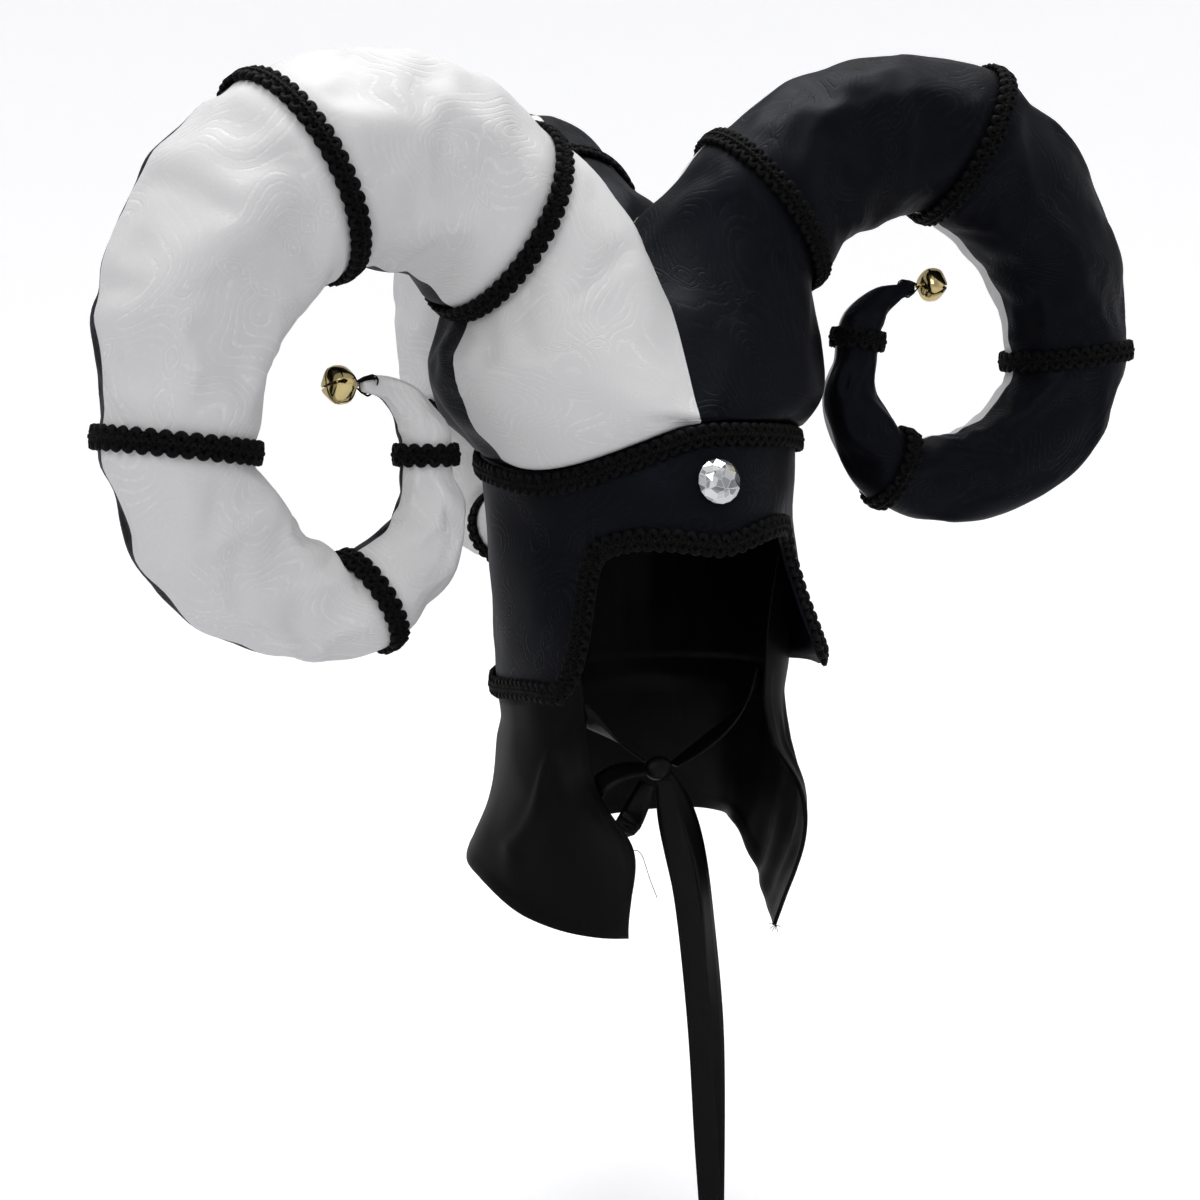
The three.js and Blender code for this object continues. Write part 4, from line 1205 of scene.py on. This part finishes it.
drape = closed_sheet("drape_cloth", outside, inside)
wrap_map(drape)
finish_piece(drape, black_satin, "black_satin", "neck_drape")
print("drape", len(drape.data.polygons), "faces")

# %% [markdown]
# One end of sewing thread was left at the drape's front corner. It springs forward a
# little before it hangs. At the other wing's tip the satin has frayed into short ends.

# %% The loose thread
YARN_RADIUS = 0.2 * MM
corner = outside[3 * LEVEL_STEPS, 0]
fall = [(0.0, 0.0), (3.2, 0.2), (5.6, -2.6), (7.4, -9.0), (9.6, -17.5), (12.4, -26.0)]
hang = [corner + (azimuth_vector(60) * x + azimuth_vector(-30) * 0.8 + UP * z) * MM for x, z in fall]
hang = np.array([smooth_at(hang, at) for at in np.arange((len(fall) - 1) * 8 + 1) / 8])
thread_end = mesh_piece("loose_thread", *tube(hang, YARN_RADIUS, 6, False))
cloth_layer(thread_end)
finish_piece(thread_end, thread_cotton, "cotton_thread")


def build_frays(name, place, ends):
    """Short ends of yarn from one place, each as steps aside, forward and up in mm."""
    parts = []
    for end in ends:
        line = [place + (np.array(end) * t + UP * 0.8 * math.sin(2.5 * t)) * MM
                for t in np.linspace(-0.1, 1, 6)]
        parts.append(tube(np.array(line), YARN_RADIUS, 5, False))
    frays = mesh_piece(name, *joined(parts))
    cloth_layer(frays)
    finish_piece(frays, thread_cotton, "cotton_thread")


build_frays("drape_frays", outside[-1, -1], [
    (-5.0, 0.0, 1.5), (-4.5, -0.6, -1.2), (-2.4, 0.4, -3.4),
    (0.6, 0.0, -4.4), (2.4, 0.3, -2.0), (-1.0, -0.5, -2.6),
])

# %% [markdown]
# The tie is one long satin ribbon: two straps from the drape to a knot under the chin,
# one bow loop and two tails.

# %% The tie
RIBBON_LENGTHS = {"chin_strap_right": 0.053, "chin_strap_left": 0.079, "bow_loop": 0.102,
                  "tie_tail_front": 0.272, "tie_tail_rear": 0.272}
for node, length in RIBBON_LENGTHS.items():
    piece = soften(node, f"{node}_ribbon")
    wrap_map(piece)
    finish_piece(piece, ribbon_satin, "satin_ribbon", node)
knot = soften("tie_knot", "tie_knot_wrap")
wrap_map(knot)
finish_piece(knot, ribbon_satin, "satin_ribbon", "tie_knot")

# %% [markdown]
# A craft bell starts as a cross of sheet brass. Pressed over a form, its arms fold into
# four petals that meet under the ball and leave a slot along each corner. So the mesh
# is four equal patches: closed over the crown, and drawn apart along the corners.

# %% A bell
BELL_HALF_WIDTH = 8.8 * MM
BELL_HALF_LENGTH = 7.4 * MM
BELL_WALL = 0.8 * MM
BELL_SLOT = 0.6 * MM
SHANK_RADIUS = 1.7 * MM
WIRE_RADIUS = 0.5 * MM
LOOP_RADIUS = 2 * MM
CORNER = 2.9
SIDE_POWER = 0.72
END_POWER = 0.8
SLOT_FROM = 0.55
SLOT_HOLE = 0.60
HOLLOW_AT = 0.68
HOLLOW = 0.045


def petal_grid(turn, rows=30, columns=15):
    grid = []
    for i in range(rows + 1):
        fall = math.pi * i / rows * 0.992
        share = fall / math.pi
        girth = BELL_HALF_WIDTH * math.sin(fall) ** SIDE_POWER
        opened = ramp(share, SLOT_FROM, 0.04) ** 0.5
        widen = 1 + 1.1 * math.exp(-((share - SLOT_HOLE) / 0.045) ** 2)
        half_gap = BELL_SLOT * opened * widen / max(girth, BELL_SLOT * 2)
        row = []
        for j in range(columns + 1):
            u = 2 * j / columns - 1
            around = u * (math.pi / 4 - min(half_gap, math.pi / 5))
            corner = (abs(math.cos(around)) ** CORNER + abs(math.sin(around)) ** CORNER) ** (-1 / CORNER)
            hollow = 1 - HOLLOW * (1 - u * u) * math.exp(-((share - HOLLOW_AT) / 0.14) ** 2)
            reach = girth * corner * hollow
            level = math.copysign(abs(math.cos(fall)) ** END_POWER, math.cos(fall))
            angle = around + turn
            row.append((reach * math.cos(angle), reach * math.sin(angle), BELL_HALF_LENGTH * level * hollow))
        grid.append(row)
    return np.array(grid)


def bell_axes(horn):
    end, along, _, across = section_axes(horn, horn.curl[-1])
    mouth = unit(along + across * 0.16 - UP * 0.1)
    eye = unit(np.cross(along, mouth))
    loop_centre = end + along * (GAP + WIRE_RADIUS + LOOP_RADIUS)
    return along, mouth, eye, loop_centre


def build_bell(horn):
    along, mouth, eye, loop_centre = bell_axes(horn)
    grids = [petal_grid(quarter * math.pi / 2) for quarter in range(4)]
    parts = [(grid.reshape(-1, 3), grid_faces(*grid.shape[:2])) for grid in grids]
    body = faced_outward(mesh_piece(f"{horn.name}_jingle_bell", *joined(parts)), weld=0.01 * MM)
    thick = body.modifiers.new("sheet brass", "SOLIDIFY")
    thick.thickness = BELL_WALL
    thick.offset = -1
    refined(body).data.shade_smooth()

    # The eye of the shank stands on the crown, in the plane of the thread's pull
    turns = np.linspace(0, 2 * math.pi, 28, endpoint=False)
    ring = SHANK_RADIUS * np.stack([np.cos(turns), 0 * turns, np.sin(turns)], axis=1)
    ring = tube(ring + UP * (BELL_HALF_LENGTH + SHANK_RADIUS), WIRE_RADIUS, 8, True)
    shank = mesh_piece(f"{horn.name}_bell_shank", *ring)

    back = -mouth
    side = np.cross(eye, back)
    shank_centre = loop_centre + along * LOOP_RADIUS
    origin = shank_centre - back * (BELL_HALF_LENGTH + SHANK_RADIUS)
    basis = Matrix([(side[k], eye[k], back[k], origin[k]) for k in range(3)] + [(0, 0, 0, 1)])
    for piece in (body, shank):
        piece.data.transform(basis)
        finish_piece(piece, brass, "brass", f"{horn.name}_bell")


# %% [markdown]
# A few turns of doubled thread hold each bell. Each turn leaves the eye, lies along one
# side of the horn's tip, goes in through the cloth, and comes back on the other side.

# %% Thread that holds a bell
THREAD_RADIUS = 0.35 * MM
THREAD_TURNS = 5


def build_thread(horn):
    along, mouth, eye, loop_centre = bell_axes(horn)
    before, tip = horn.curl[-2:]
    apart = math.hypot(tip.out - before.out, tip.up - before.up) * HORN_SPAN
    flare = (before.radius - tip.radius) * HORN_RADIUS / apart
    aside = np.cross(along, eye)

    def over(back, side, shift):
        """A point on the skin of the tip, some way back from its end."""
        radius = tip.radius * HORN_RADIUS + flare * back + THREAD_RADIUS
        return (loop_centre - along * (back + GAP + WIRE_RADIUS + LOOP_RADIUS)
                + eye * side * radius + aside * shift)

    corners = []
    for turn in range(THREAD_TURNS):
        shift = (turn - (THREAD_TURNS - 1) / 2) * 0.8 * MM
        back = (5.5 + 0.9 * math.sin(2.4 * turn)) * MM
        bundle = eye * 0.4 * MM * math.sin(turn) + aside * shift * 0.35
        corners.append(loop_centre + along * LOOP_RADIUS + bundle)
        corners += [over(place, side, shift * wide) for place, side, wide in (
            (-1.2 * MM, 0.8, 0.8), (1.5 * MM, 1, 1), (back, 1, 1.3), (back + 1.0 * MM, 0, 1),
            (back * 0.7, -1, 1.3), (1.2 * MM, -1, 1), (-1.2 * MM, -0.8, 0.8))]
    corners = np.array(corners)
    places = np.arange((len(corners) - 1) * 5 + 1) / 5
    path = np.array([smooth_at(corners, at) for at in places])
    thread = mesh_piece(f"{horn.name}_bell_thread", *tube(path, THREAD_RADIUS, 6, False))
    map_by_vertex(thread, lambda v: (v // 6 * 0.7 * MM, v % 6 * 0.3 * MM))
    finish_piece(thread, thread_cotton, "cotton_thread", f"{horn.name}_bell_loop")


for horn in HORNS:
    build_bell(horn)
    build_thread(horn)
print("bells hung")

# %% [markdown]
# The stone is a round brilliant with a flat back: an eight-sided table, eight kites
# that point down to the girdle, and pairs of small facets between them. Every facet is
# flat, so the shading is flat too, and light breaks from one facet to the next.

# %% The stone
GEM_RADIUS = 11.5 * MM
GEM_HEIGHT = 6.5 * MM
BROW_DEPTH = 112 * MM
GEM_DROP = 0.66
GEM_RINGS = [  # corners, reach, height, turn
    (16, 0.93, 0.0, 0.0), (16, 1.0, 0.2, 0.0), (16, 1.0, 0.30, 0.0), (8, 0.80, 0.68, 0.5), (8, 0.54, 1.0, 0.0),
]


def gem_axes():
    z = -BROW_DEPTH * GEM_DROP
    lean = math.atan2(band_radius(0, z - GEM_RADIUS) - band_radius(0, z + GEM_RADIUS), 2 * GEM_RADIUS)
    front = azimuth_vector(0)
    return front * (band_radius(0, z) + 2 * GAP) + UP * z, front * math.cos(lean) + UP * math.sin(lean)


def build_gem():
    base, normal = gem_axes()
    side = np.array((1.0, 0, 0))
    rise = np.cross(normal, side)
    points, starts = [], []
    for count, reach, height, shift in GEM_RINGS:
        starts.append(len(points))
        for k in range(count):
            angle = 2 * math.pi * (k + shift) / count
            flat = side * math.cos(angle) + rise * math.sin(angle)
            points.append(base + flat * reach * GEM_RADIUS + normal * height * GEM_HEIGHT)
    back, low, girdle, middle, table = starts
    faces = [tuple(back + k for k in range(16))[::-1], tuple(table + k for k in range(8))]
    for k in range(16):
        n = (k + 1) % 16
        faces += [(back + k, back + n, low + n, low + k), (low + k, low + n, girdle + n, girdle + k)]
    for k in range(8):
        n = (k + 1) % 8
        m = (k - 1) % 8
        faces += [(table + k, middle + k, table + n), (table + k, middle + m, girdle + 2 * k, middle + k),
                  (middle + k, girdle + 2 * k, girdle + 2 * k + 1),
                  (middle + k, girdle + 2 * k + 1, girdle + (2 * k + 2) % 16)]
    gem = faced_outward(mesh_piece("gem_stone", points, faces, smooth=False))
    finish_piece(gem, stone, "acrylic", "gem")


build_gem()
print("stone cut")

# %% [markdown]
# The hood is shown in plain soft light on a pale floor that curves up all round, so no
# horizon shows from any side. Large lamps near the camera's side keep shadows faint.

# %% Stage and light
FLOOR = -0.545
STAGE_FLAT = 2.2
STAGE_RADIUS = 4.0
STAGE_HEIGHT = 5.0
FLOOR_GLOW = 0.48
ROOM_GLOW = 0.62
LAMP_AIM = Vector((0, 0, -0.1))


def build_stage():
    bend = STAGE_RADIUS - STAGE_FLAT
    profile = [(0.0, 0.0), (STAGE_FLAT, 0.0)]
    profile += [(STAGE_FLAT + bend * math.sin(a), bend - bend * math.cos(a))
                for a in np.linspace(0, math.pi / 2, 9)[1:]]
    profile.append((STAGE_RADIUS, STAGE_HEIGHT))
    turns = 64
    points = [(r * math.cos(2 * math.pi * j / turns), r * math.sin(2 * math.pi * j / turns), FLOOR + z)
              for r, z in profile for j in range(turns)]
    stage = mesh_piece("floor", points, grid_faces(len(profile), turns, wrap=True))
    material, tree, shader = new_material("painted studio floor")
    set_shader(shader, Base_Color=linear("#E2E2E4"), Roughness=0.9, Emission_Color=linear("#FFFFFF"))
    seen = add_node(tree, "LightPath").outputs["Is Camera Ray"]
    plug(tree, times(tree, seen, FLOOR_GLOW), shader, "Emission Strength")
    stage.data.materials.append(material)


def add_lamp(name, place, size, power):
    data = bpy.data.lights.new(name, "AREA")
    data.size = size
    data.energy = power
    lamp = add_object(name, data)
    lamp.location = place
    lamp.rotation_euler = (LAMP_AIM - Vector(place)).to_track_quat("-Z", "Y").to_euler()


build_stage()
add_lamp("key", (-1.5, -1.6, 1.5), 1.3, 15)
add_lamp("fill", (1.7, -1.5, 0.7), 1.8, 3)
add_lamp("overhead", (0.2, 0.3, 2.2), 1.6, 42)

world = bpy.data.worlds.new("room")
world.use_nodes = True
set_shader(world.node_tree.nodes["Background"], Color=linear("#FFFFFF"), Strength=ROOM_GLOW)
scene.world = world
scene.view_settings.view_transform = "Standard"
